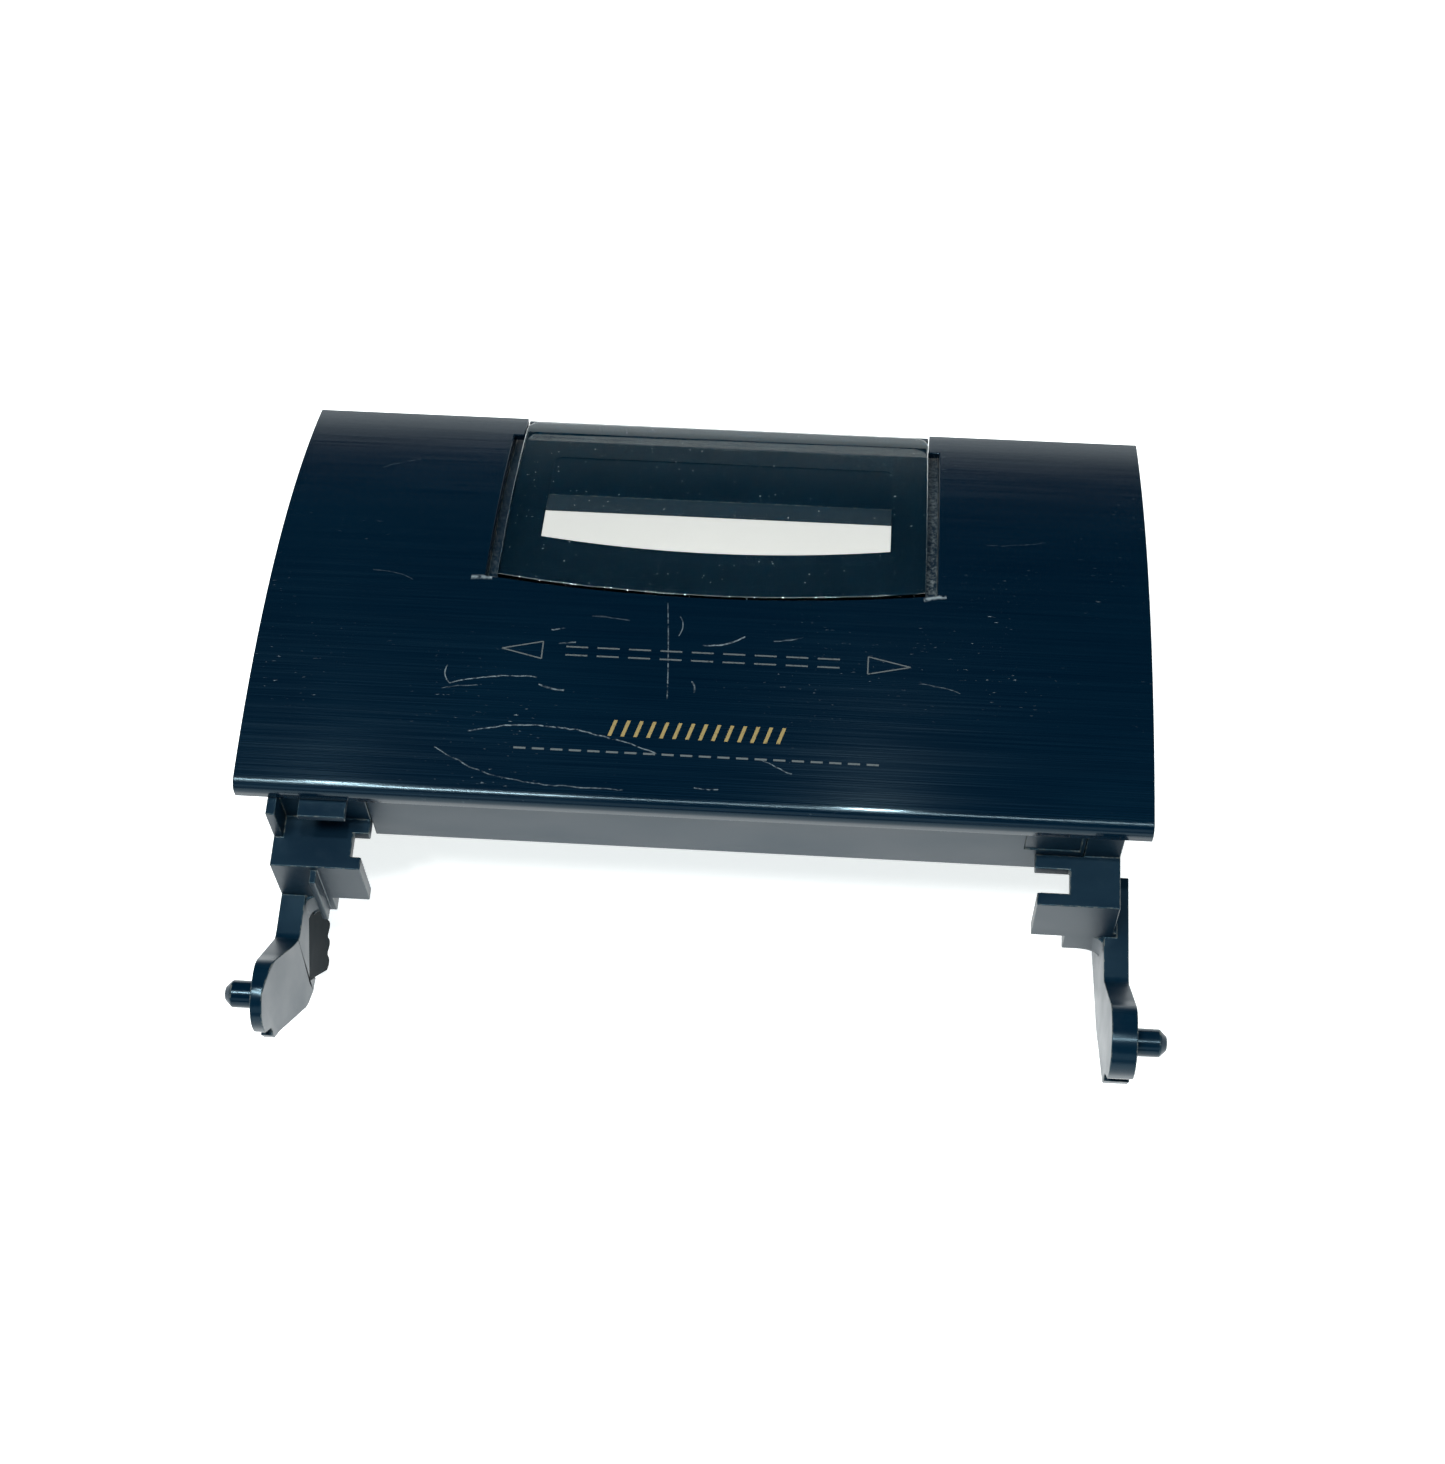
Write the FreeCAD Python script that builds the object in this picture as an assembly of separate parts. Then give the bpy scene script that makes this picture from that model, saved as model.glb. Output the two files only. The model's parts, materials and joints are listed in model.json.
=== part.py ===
import FreeCAD, Part
import math
import os

# Cassette compartment door of a hi-fi cassette deck, lying on its back.
# Door directions: across (left to right), depth (from the front face backwards) and
# height (up the closed door). In the row's frame X is across, Y is height and +Z is
# towards the user, so depth is counted down from the front. All sizes in mm.

# Front face: a gently convex arc in the depth-height plane
FACE_WIDTH = 114.5
FACE_OFFSET = -1.5          # the panel sits a little to the left of the carrier
FACE_RADIUS = 116.0
FACE_LEAN = -3.2            # degrees, lean of the face at its lower edge
FACE_LENGTH = 70.5          # along the arc
PANEL_T = 1.2
NOSE_R = 1.7                # outside radius of the rolled lower edge
FLANGE_LENGTH = 1.0

# Window
WINDOW_SHIFT = 0.3          # window centre, to the right of the panel's centre
LENS_HALF = 28.0
LENS_LOW = 34.3             # arc position of the lens's lower corners
LENS_HIGH = 69.4
LENS_SAG = 2.2              # how far the lower edge bows down in the middle
LENS_T = 2.1
LENS_PROUD = 0.15
LENS_CORNER_R = 1.9
SLOT_W = 1.5                # open slot each side of the lens
SLOT_TOP = 65.3             # arc position where the slots end
LENS_SIDE_GAP = 0.08        # beside the lens, above the slots
LENS_GAP = 0.25             # under the lens
CLEAR_HALF = 23.2
CLEAR_LOW = 42.3
CLEAR_HIGH = 60.0
CLEAR_SAG = 1.8
CLEAR_CORNER_R = 1.0
MASK_T = 0.12

# Door base, the black moulding behind the panel
TAPE_T = 0.3
TAPE_W = 7.0
TAPE_INSET = 2.0
LOWER_TAPE_ARC = 5.0
MIDDLE_TAPE_ARC = 22.0
UPPER_TAPE_ARC = 60.0
BASE_T = 1.8
BASE_LOW = 3.2              # arc position of the base's lower edge
BASE_TOP_GAP = 1.2          # the base stops short of the panel's top edge
TOP_LIP_FRONT = 0.5         # a lip of the base closes the notch above the lens
TOP_LIP_GAP = 0.06
POCKET_FOOT_GAP = 1.0       # the lens pocket reaches this far below the lens
RECESS_DEEP = 0.2           # shallow recess in the floor's underside, beside the right bracket
RECESS_W = 7.0
RECESS_FRONT = 4.1
RECESS_REAR = 8.5
RECESS_EDGE = 0.5           # material left between the recess and the floor's end
WINDOW_HALF = 25.2          # opening in the base behind the lens
WINDOW_LOW = 38.0
WINDOW_HIGH = 52.0
BEAM_T = 2.7                # thick upper edge of the opening
BEAM_W = 5.0
FLOOR_T = 1.8               # bottom wall under the nose
FLOOR_BOTTOM = 0.9
FLOOR_FRONT = 2.8
FLOOR_REAR = 14.0
RIB_T = 1.2
RIB_HIGH = 13.0
RIB_COUNT = 5
RIB_FOOT_GAP = 1.5          # the ribs stop short of the floor's rear edge
RIB_CREST = 1.2             # how far a rib stands off the plate at its top

# Side brackets with their arms
ARM_OUT = 54.7              # outer face of both arms
RIGHT_SET_IN = 2.1          # the right carrier wall stands in from its arm
ARM_T = 3.2
ARM_FRONT = 18.9
ARM_REAR = 34.3
WALL_T = 1.9
LOWER_WALL_T = 1.2
WALL_TOP = 66.0
WALL_DEEP_LOW = 9.0         # the side wall runs back to the rest plane above this height
WALL_DEEP_TOP = 60.0
STEP_T = 1.7                # sheet thickness of the stepped block
STEP_1_D = 2.9
STEP_1_Z = -2.1
STEP_2_D = 9.6
STEP_2_Z = -6.1
KINK_Z = -12.2
SHELF_REAR = 19.4
SHELF_STEP_REAR = 23.4
GUSSET_R = 3.0
LEFT_SHEET_W = 12.1         # widths counted in from each wall's outer face
LEFT_BAND_W = 10.1
LEFT_HOOK_W = 12.1
LEFT_SHELF_W = 11.5
LEFT_TONGUE_W = 3.5         # counted in from the arm's inner face
RIGHT_SHEET_W = 4.6
RIGHT_BAND_W = 6.3
RIGHT_HOOK_W = 10.7
RIGHT_SHELF_W = 10.4
RIGHT_TONGUE_W = 5.0
HOOK_Z = -1.1               # lower edge of the hook under the base's floor
LATCH_W = 6.0               # tab that hangs from the front of the left block's sheet
LATCH_T = 1.1
LATCH_IN = 2.1              # sheet left between the tab and the sheet's inner edge
WEB_X = 1.9                 # the web under the left shelf stands this far in from the arm
WEB_T = 0.8
WEB_DROP = 1.8
WEB_FRONT = 10.5
WEB_REAR = 22.5
CORNER_R = 1.4              # round inner corner between each shelf and its arm
ARM_TOP_Z = 2.3             # top of the right arm's plate, outside its block
WALL_FRONT_TOP = 4.0
RAIL_REAR_ROOM = 1.5        # the side walls reach this far behind the rail
THROUGH_FRONT = -20.0       # cuts that go right through run between these depths
THROUGH_REAR = 45.0
OVERSHOOT = 5.0             # extra reach of cuts past the material they remove
GUIDE_D = 31.5              # front of the rear guide flange
GUIDE_T = 1.8
GUIDE_W = 4.2
GUIDE_LOW = 10.0
SIDE_GAP = 0.1              # between the base and each bracket

WALL_RIM_R = 2.0            # corners of the side walls, by the rail and at the front
WALL_DEEP_R = 3.0
WALL_FOOT_IN = 2.0          # the wall's foot ends this far in front of the arm's rear edge

# Arm outline
KINK_R = 1.5
KNEE_R = 3.0
REAR_TOP_R = 4.0
HEEL_R = 2.0
TOE_R = 1.5
TOE_D = 14.9                # where the boss's lower edge turns towards the foot
FOOT_RAMP = 1.1
FOOT_REAR_UP = 0.4
FOOT_R = 0.3
BOSS_CORNER_R = 4.4
TAPER_PAST = 2.0            # the taper's cut runs this far below the arm

# Pivot
PIN_D = 13.9
PIN_Z = -22.0
PIN_R = 1.75
PIN_LENGTH = 4.0
PIN_CHAMFER = 0.9
BOSS_R = 4.6
KNEE_UP = 2.6               # height of the knee above the pivot
FOOT_Z = -25.5
FOOT_FRONT = 18.9
FOOT_REAR = 20.8
FOOT_STEP = 0.6
LEFT_HEEL_D = 32.0          # where the rear edge turns towards the foot
LEFT_HEEL_Z = -16.5
RIGHT_HEEL_D = 28.4
RIGHT_HEEL_Z = -15.2
ARM_REAR_TOP_Z = -2.0
LEFT_TAPER = 1.7            # the left arm gets thinner towards its pivot
TAPER_TOP = -14.2
TAPER_LOW = -23.5

# Damper sector on the left arm
SECTOR_TIP_R = 30.3
SECTOR_ROOT_R = 17.0
SECTOR_T = 1.6
SECTOR_START = 28.0         # degrees above the depth direction
SECTOR_TEETH = 6
TOOTH_PITCH = 2.5
TOOTH_HEIGHT = 1.35
SECTOR_GAP = 0.06

# Leaf springs that press on the cassette
CASSETTE_FRONT = 20.5       # the cassette's thin upper part
SPRING_X = 38.0
SPRING_W = 6.0
SPRING_T = 0.3
SPRING_BEHIND = 0.75        # the tab's middle stands this far behind the base
SPRING_ROOT_Z = 16.0
SPRING_TAB = 2.6            # half the tab's length in the slot
SPRING_BEND_UP = 5.0        # the first bend, above the tab's middle
SPRING_CREST_Z = 40.0
SPRING_CREST_PAST = 1.0     # how far the crest stands past the cassette's front face
SPRING_TIP_Z = 48.0
SPRING_TIP_D = 17.5
SPRING_BEND_R = 3.0
SPRING_PLAY = 0.4           # free play round the tab
HOLDER_WALL = 1.4

# Rail across the back, fasteners and pads
RAIL_T = 1.8
RAIL_LOW = 62.9
RAIL_HIGH = 68.2
RAIL_END_GAP = 0.3
STIFFENER_H = 2.2           # edge rib along the rail's upper edge
STIFFENER_T = 1.4
STIFFENER_INSET = 6.2
RAIL_COVER = 0.6            # the side walls stand this far above the rail
SCREW_R = 1.25
SCREW_HOLE_GAP = 0.05
SCREW_PLAY = 0.2            # between a screw's head and the wall beside it
SCREW_END_GAP = 0.3         # the thread ends this far above the bottom of its hole
SCREW_EDGE = 0.6            # the head's rounding, as a share of its height
CROSS_DEEP = 0.7
SCREW_HEAD_R = 2.3
SCREW_HEAD_T = 1.1
SCREW_GRIP = 4.4            # thread length in the post
CROSS_W = 0.6
CROSS_L = 2.6
POST_R = 2.9
POST_H = 4.0
TAB_T = 1.6
LOW_SCREW_ARC = 13.0
HIGH_SCREW_ARC = 42.0
PAD_T = 0.9
PAD_W = 6.0
PAD_L = 5.5
PAD_D = 17.2
PAD_INSET = 0.6

REST_GAP = 0.15             # the sector clears the rest plane by this much
REAR_D = PIN_D + SECTOR_TIP_R * math.cos(math.radians(SECTOR_START)) + REST_GAP
FACE_CENTRE_D = FACE_RADIUS * math.cos(math.radians(FACE_LEAN))
FACE_CENTRE_Z = -FACE_RADIUS * math.sin(math.radians(FACE_LEAN))
PIN_TIP = ARM_OUT + PIN_LENGTH
ARM_IN = ARM_OUT - ARM_T
ARM_LOW = PIN_Z - BOSS_R
WINDOW_X = FACE_OFFSET + WINDOW_SHIFT
BASE_LEFT = -ARM_OUT
BASE_RIGHT = ARM_OUT - RIGHT_SET_IN
FLOOR_LEFT = BASE_LEFT + LEFT_SHEET_W + SIDE_GAP
FLOOR_RIGHT = BASE_RIGHT - RIGHT_SHEET_W - SIDE_GAP
BASE_FRONT = PANEL_T + TAPE_T
MASK_BACK = LENS_T - LENS_PROUD + MASK_T
BASE_BACK = BASE_FRONT + BASE_T
BASE_TOP = FACE_LENGTH - BASE_TOP_GAP
POCKET_HALF = LENS_HALF + SLOT_W
POST_BACK = BASE_BACK + POST_H
TAB_BACK = POST_BACK + TAB_T
SPRING_BEND_Z = SPRING_ROOT_Z + SPRING_BEND_UP


def face_point(arc, inward=0.0):
    """Depth and height of a point on the face, at a distance along the arc."""
    turn = math.radians(FACE_LEAN) + arc / FACE_RADIUS
    radius = FACE_RADIUS - inward
    return (FACE_CENTRE_D - radius * math.cos(turn), FACE_CENTRE_Z + radius * math.sin(turn))


SPRING_D = face_point(SPRING_BEND_Z, BASE_BACK)[0] + SPRING_BEHIND
FACE_TOP_Z = face_point(FACE_LENGTH)[1]
X_MID = (PIN_TIP + FACE_OFFSET - FACE_WIDTH / 2) / 2
WALL_REAR_TOP = RAIL_HIGH + RAIL_COVER
Y_MID = (max(FACE_TOP_Z, WALL_REAR_TOP) + ARM_LOW) / 2


def vec(across, depth, height):
    return FreeCAD.Vector(across - X_MID, height - Y_MID, REAR_D - depth)


def block(x0, x1, d0, d1, z0, z1):
    """A box between two corners given as across, depth and height."""
    low = vec(min(x0, x1), max(d0, d1), min(z0, z1))
    return Part.makeBox(abs(x1 - x0), abs(z1 - z0), abs(d1 - d0), low)


def corner_arc(before, corner, after, radius):
    """Tangent points and middle point of an arc that rounds one corner."""
    a = (before - corner).normalize()
    b = (after - corner).normalize()
    half = a.getAngle(b) / 2
    reach = radius / math.tan(half)
    centre = corner + (a + b).normalize() * (radius / math.sin(half))
    middle = centre + (corner - centre).normalize() * radius
    return corner + a * reach, middle, corner + b * reach


def outline(points, place):
    """A closed face from (u, v, corner radius) points put in space by place(u, v)."""
    corners = [place(u, v) for u, v, _ in points]
    edges = []
    ends = []
    for i, (_, _, radius) in enumerate(points):
        here = corners[i]
        if radius:
            after = corners[(i + 1) % len(corners)]
            start, middle, end = corner_arc(corners[i - 1], here, after, radius)
            ends.append((start, end))
            edges.append((i, Part.Arc(start, middle, end).toShape()))
        else:
            ends.append((here, here))
    parts = []
    arcs = dict(edges)
    for i in range(len(points)):
        if i in arcs:
            parts.append(arcs[i])
        start = ends[i][1]
        end = ends[(i + 1) % len(points)][0]
        if (end - start).Length > 1e-6:
            parts.append(Part.LineSegment(start, end).toShape())
    return Part.Face(Part.Wire(parts))


def side_prism(points, x0, x1):
    """A prism along X from an outline in the depth-height plane."""
    face = outline(points, lambda d, z: vec(x0, d, z))
    return face.extrude(FreeCAD.Vector(x1 - x0, 0, 0))


def front_prism(points, d0, d1):
    """A prism along the depth from an outline in the across-height plane."""
    face = outline(points, lambda x, z: vec(x, d0, z))
    return face.extrude(FreeCAD.Vector(0, 0, d0 - d1))


def rod(x0, x1, depth, height, radius):
    return Part.makeCylinder(radius, abs(x1 - x0), vec(min(x0, x1), depth, height),
                             FreeCAD.Vector(1, 0, 0))


def face_shell(inward_0, inward_1, arc_0, arc_1, x0, x1):
    """A curved slab that follows the front face between two depths below it."""
    def point(arc, inward):
        return vec(x0, *face_point(arc, inward))
    middle = (arc_0 + arc_1) / 2
    edges = [
        Part.Arc(point(arc_0, inward_0), point(middle, inward_0), point(arc_1, inward_0)).toShape(),
        Part.LineSegment(point(arc_1, inward_0), point(arc_1, inward_1)).toShape(),
        Part.Arc(point(arc_1, inward_1), point(middle, inward_1), point(arc_0, inward_1)).toShape(),
        Part.LineSegment(point(arc_0, inward_1), point(arc_0, inward_0)).toShape(),
    ]
    return Part.Face(Part.Wire(edges)).extrude(FreeCAD.Vector(x1 - x0, 0, 0))


def bowed_outline(half, low, high, sag, high_r):
    """A window outline whose lower edge bows down, as a prism right through the door."""
    z_low = face_point(low)[1]
    z_high = face_point(high)[1]
    bow_top = (z_low + z_high) / 2
    left = WINDOW_X - half
    right = WINDOW_X + half
    body = front_prism([(left, bow_top, 0), (right, bow_top, 0), (right, z_high, high_r),
                        (left, z_high, high_r)], THROUGH_FRONT, THROUGH_REAR)
    start = vec(left, THROUGH_FRONT, z_low)
    end = vec(right, THROUGH_FRONT, z_low)
    end_top = vec(right, THROUGH_FRONT, bow_top)
    start_top = vec(left, THROUGH_FRONT, bow_top)
    edges = [
        Part.Arc(start, vec(WINDOW_X, THROUGH_FRONT, z_low - sag), end).toShape(),
        Part.LineSegment(end, end_top).toShape(),
        Part.LineSegment(end_top, start_top).toShape(),
        Part.LineSegment(start_top, start).toShape(),
    ]
    lower = Part.Face(Part.Wire(edges)).extrude(FreeCAD.Vector(0, 0, THROUGH_FRONT - THROUGH_REAR))
    return body.fuse(lower).removeSplitter()


def nose_section():
    """The rolled lower edge of the panel: a quarter-round turn and a short level flange."""
    turn = math.radians(FACE_LEAN) + NOSE_R / FACE_RADIUS
    centre_d, centre_z = face_point(NOSE_R, NOSE_R)

    def point(angle, radius):
        # angle is measured from the face's own normal, turning under the panel
        return vec(-FACE_WIDTH / 2 + FACE_OFFSET,
                   centre_d - radius * math.cos(angle - turn),
                   centre_z - radius * math.sin(angle - turn))

    end = math.radians(90) + turn
    inner = NOSE_R - PANEL_T
    back = FreeCAD.Vector(0, -math.cos(end - turn), -math.sin(end - turn)) * FLANGE_LENGTH
    outer_end = point(end, NOSE_R)
    inner_end = point(end, inner)
    edges = [
        Part.Arc(point(0, NOSE_R), point(end / 2, NOSE_R), outer_end).toShape(),
        Part.LineSegment(outer_end, outer_end + back).toShape(),
        Part.LineSegment(outer_end + back, inner_end + back).toShape(),
        Part.LineSegment(inner_end + back, inner_end).toShape(),
        Part.Arc(inner_end, point(end / 2, inner), point(0, inner)).toShape(),
        Part.LineSegment(point(0, inner), point(0, NOSE_R)).toShape(),
    ]
    return Part.Face(Part.Wire(edges)).extrude(FreeCAD.Vector(FACE_WIDTH, 0, 0))


def front_panel():
    left = FACE_OFFSET - FACE_WIDTH / 2
    sheet = face_shell(0, PANEL_T, NOSE_R, FACE_LENGTH, left, left + FACE_WIDTH)
    sheet = sheet.fuse(nose_section()).removeSplitter()
    slots = bowed_outline(POCKET_HALF, LENS_LOW - LENS_GAP, SLOT_TOP, LENS_SAG, 0)
    notch = bowed_outline(LENS_HALF + LENS_SIDE_GAP, LENS_LOW, FACE_LENGTH + OVERSHOOT, LENS_SAG, 0)
    return sheet.cut(slots).cut(notch)


def lens_slab(inward_0, inward_1):
    """A slab between two depths below the face, cut to the outline of the lens."""
    slab = face_shell(inward_0, inward_1, LENS_LOW - LENS_SAG - OVERSHOOT, LENS_HIGH + OVERSHOOT,
                      WINDOW_X - POCKET_HALF, WINDOW_X + POCKET_HALF)
    return slab.common(bowed_outline(LENS_HALF, LENS_LOW, LENS_HIGH, LENS_SAG, LENS_CORNER_R))


def window_lens():
    return lens_slab(-LENS_PROUD, LENS_T - LENS_PROUD)


def window_mask():
    film = lens_slab(LENS_T - LENS_PROUD, MASK_BACK)
    return film.cut(bowed_outline(CLEAR_HALF, CLEAR_LOW, CLEAR_HIGH, CLEAR_SAG, CLEAR_CORNER_R))


# What differs between the two brackets; across is counted outwards from the middle
LEFT = {"side": -1, "out": -BASE_LEFT, "sheet_w": LEFT_SHEET_W, "band_w": LEFT_BAND_W,
        "hook_w": LEFT_HOOK_W, "shelf_w": LEFT_SHELF_W, "tongue_w": LEFT_TONGUE_W,
        "lower_z": STEP_1_Z, "top_z": WALL_DEEP_LOW, "heel": (LEFT_HEEL_D, LEFT_HEEL_Z)}
RIGHT = {"side": 1, "out": BASE_RIGHT, "sheet_w": RIGHT_SHEET_W, "band_w": RIGHT_BAND_W,
         "hook_w": RIGHT_HOOK_W, "shelf_w": RIGHT_SHELF_W, "tongue_w": RIGHT_TONGUE_W,
         "lower_z": FLOOR_BOTTOM, "top_z": ARM_TOP_Z, "heel": (RIGHT_HEEL_D, RIGHT_HEEL_Z)}


def inward_axis(arc):
    """Direction that points from the face into the door at an arc position."""
    turn = math.radians(FACE_LEAN) + arc / FACE_RADIUS
    return FreeCAD.Vector(0, -math.sin(turn), -math.cos(turn))


def drilled(across, arc, inward_0, inward_1, radius):
    """A cylinder square to the face, between two depths below it."""
    start = vec(across, *face_point(arc, inward_0))
    return Part.makeCylinder(radius, inward_1 - inward_0, start, inward_axis(arc))


def screw_across(bracket):
    return bracket["side"] * (bracket["out"] - WALL_T - POST_R - SCREW_PLAY)


def screw_places():
    """Across and arc position of the screws that join the brackets to the base."""
    return [(screw_across(bracket), arc) for bracket in (LEFT, RIGHT)
            for arc in (LOW_SCREW_ARC, HIGH_SCREW_ARC)]


def spring_holder(side):
    """A block on the base's back with a slot for the spring's tab."""
    half = SPRING_W / 2 + SPRING_PLAY
    slot = SPRING_T / 2 + SPRING_PLAY
    low = SPRING_ROOT_Z - SPRING_TAB - SPRING_PLAY
    high = SPRING_ROOT_Z + SPRING_TAB
    front = face_point(SPRING_ROOT_Z, BASE_BACK - BASE_T / 2)[0]
    middle = side * SPRING_X
    body = block(middle - half - HOLDER_WALL, middle + half + HOLDER_WALL, front,
                 SPRING_D + slot + HOLDER_WALL, low - HOLDER_WALL, high)
    cut = block(middle - half, middle + half, SPRING_D - slot, SPRING_D + slot, low, high + 1)
    return body, cut


def window_shell(inward_0, inward_1, arc_0, arc_1, half):
    """A curved slab centred on the window."""
    return face_shell(inward_0, inward_1, arc_0, arc_1, WINDOW_X - half, WINDOW_X + half)


def base_rib(middle, low_d):
    """A web between the base's floor and the back of its plate."""
    foot = FLOOR_BOTTOM + FLOOR_T / 2
    front = low_d - BASE_T / 4
    return side_prism([(front, foot, 0), (FLOOR_REAR - RIB_FOOT_GAP, foot, 0),
                       (low_d + RIB_CREST, RIB_HIGH, 0), (front, RIB_HIGH, 0)],
                      middle - RIB_T / 2, middle + RIB_T / 2)


def top_lip():
    """A low bar above the lens, carried by the plate behind it."""
    left = WINDOW_X - POCKET_HALF
    right = WINDOW_X + POCKET_HALF
    top = FACE_TOP_Z - TOP_LIP_GAP
    under = face_point(LENS_HIGH)[1] + TOP_LIP_GAP
    bar = window_shell(TOP_LIP_FRONT, BASE_BACK, BASE_TOP - BASE_TOP_GAP, FACE_LENGTH + OVERSHOOT,
                       LENS_HALF + LENS_SIDE_GAP - TOP_LIP_GAP)
    above = block(left, right, THROUGH_FRONT, THROUGH_REAR, top, top + OVERSHOOT * 2)
    below = block(left, right, THROUGH_FRONT, THROUGH_REAR, under - OVERSHOOT * 2, under)
    lens_room = window_shell(0, MASK_BACK, BASE_TOP - OVERSHOOT, FACE_LENGTH + OVERSHOOT, POCKET_HALF)
    return bar.cut(above).cut(lens_room.common(below))


def door_base():
    plate = face_shell(BASE_FRONT, BASE_BACK, BASE_LOW, BASE_TOP, BASE_LEFT, BASE_RIGHT)
    beam = window_shell(BASE_FRONT, MASK_BACK + BEAM_T, WINDOW_HIGH, WINDOW_HIGH + BEAM_W,
                        POCKET_HALF)
    shape = plate.fuse(beam)
    pocket_low = LENS_LOW - LENS_SAG - POCKET_FOOT_GAP
    shape = shape.cut(window_shell(0, MASK_BACK, pocket_low, FACE_LENGTH + OVERSHOOT, POCKET_HALF))
    shape = shape.cut(window_shell(0, THROUGH_REAR, WINDOW_LOW, WINDOW_HIGH, WINDOW_HALF))
    shape = shape.fuse(top_lip())
    cover = face_shell(THROUGH_FRONT, BASE_FRONT, THROUGH_FRONT, RIB_HIGH + OVERSHOOT,
                       BASE_LEFT, BASE_RIGHT)
    low_d, low_z = face_point(BASE_LOW, BASE_BACK)
    floor = block(FLOOR_LEFT, FLOOR_RIGHT, FLOOR_FRONT, FLOOR_REAR, FLOOR_BOTTOM,
                  FLOOR_BOTTOM + FLOOR_T)
    lip = block(FLOOR_LEFT, FLOOR_RIGHT, FLOOR_FRONT, low_d, FLOOR_BOTTOM, low_z + BASE_T / 3)
    recess_right = FLOOR_RIGHT - RECESS_EDGE
    recess = block(recess_right - RECESS_W, recess_right, RECESS_FRONT, RECESS_REAR,
                   FLOOR_BOTTOM, FLOOR_BOTTOM + RECESS_DEEP)
    shape = shape.fuse([floor.cut(cover).cut(recess), lip.cut(cover).cut(recess)])
    pitch = (FLOOR_RIGHT - FLOOR_LEFT) / (RIB_COUNT + 1)
    for i in range(RIB_COUNT):
        shape = shape.fuse(base_rib(FLOOR_LEFT + pitch * (i + 1), low_d).cut(cover))
    for side in (-1, 1):
        body, cut = spring_holder(side)
        shape = shape.fuse(body).cut(cut)
    for across, arc in screw_places():
        shape = shape.fuse(drilled(across, arc, BASE_BACK - BASE_T / 2, POST_BACK, POST_R))
    for across, arc in screw_places():
        shape = shape.cut(drilled(across, arc, POST_BACK - SCREW_GRIP, POST_BACK + OVERSHOOT,
                                  SCREW_R + SCREW_HOLE_GAP))
    return shape.removeSplitter()


def mirrored(bracket, x0, x1):
    """Two across values counted outwards, put on the bracket's own side in rising order."""
    return sorted((bracket["side"] * x0, bracket["side"] * x1))


def side_block(bracket, x0, x1, d0, d1, z0, z1):
    low, high = mirrored(bracket, x0, x1)
    return block(low, high, d0, d1, z0, z1)


def side_profile(bracket, points, x0, x1):
    low, high = mirrored(bracket, x0, x1)
    return side_prism(points, low, high)


def arm_plate(bracket):
    """The flat arm from the shelf down to the boss and foot round the pivot."""
    front = PIN_D - BOSS_R
    heel_d, heel_z = bracket["heel"]
    foot_top = FOOT_Z + FOOT_STEP
    points = [
        (ARM_FRONT, bracket["top_z"], 0), (ARM_FRONT, KINK_Z, KINK_R), (front, PIN_Z + KNEE_UP, KNEE_R),
        (front, ARM_LOW, BOSS_CORNER_R), (TOE_D, ARM_LOW, TOE_R), (FOOT_FRONT - FOOT_RAMP, foot_top, 0),
        (FOOT_FRONT, foot_top, 0), (FOOT_FRONT, FOOT_Z, 0), (FOOT_REAR, FOOT_Z + FOOT_REAR_UP, FOOT_R),
        (heel_d, heel_z, HEEL_R), (ARM_REAR, ARM_REAR_TOP_Z, REAR_TOP_R), (ARM_REAR, bracket["top_z"], 0),
    ]
    return side_profile(bracket, points, ARM_IN, ARM_OUT)


def stepped_block(bracket):
    """Stepped sheet under the nose, with its hook, shelf and the gusset to the arm."""
    out = bracket["out"]
    floor_top = FLOOR_BOTTOM + STEP_T
    band_rear = STEP_2_D + STEP_T
    under_floor = FLOOR_BOTTOM - SIDE_GAP
    shelf_top = STEP_2_Z + STEP_T
    sheet_in = out - bracket["sheet_w"]
    riser_in = out - min(bracket["sheet_w"], bracket["hook_w"])
    sheet = side_block(bracket, sheet_in, out, STEP_1_D, band_rear, FLOOR_BOTTOM, floor_top)
    riser = side_block(bracket, riser_in, out, STEP_2_D, band_rear, HOOK_Z, floor_top)
    band = side_block(bracket, out - bracket["band_w"], out, STEP_2_D, band_rear, STEP_2_Z, under_floor)
    hook = side_block(bracket, out - bracket["hook_w"], out, STEP_2_D, band_rear, HOOK_Z, under_floor)
    shelf = side_block(bracket, out - bracket["shelf_w"], out, STEP_2_D, SHELF_REAR, STEP_2_Z, shelf_top)
    tongue = side_block(bracket, ARM_IN - bracket["tongue_w"], ARM_IN + ARM_T / 2, SHELF_REAR - STEP_T,
                        SHELF_STEP_REAR, STEP_2_Z, shelf_top)
    shape = sheet.fuse([riser, band, hook, shelf, tongue, gusset(bracket), round_corner(bracket)])
    if bracket is LEFT:
        wall = side_block(bracket, out - LOWER_WALL_T, out, STEP_1_D, band_rear, STEP_1_Z, floor_top)
        web_in = ARM_IN - WEB_X - WEB_T
        web = side_block(bracket, web_in, web_in + WEB_T, WEB_FRONT, WEB_REAR,
                         STEP_2_Z - WEB_DROP, STEP_2_Z + STEP_T / 2)
        latch = side_block(bracket, sheet_in + LATCH_IN, sheet_in + LATCH_IN + LATCH_W,
                           STEP_1_D, STEP_1_D + LATCH_T, STEP_1_Z, floor_top)
        shape = shape.fuse([wall, web, latch])
    return shape


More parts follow.
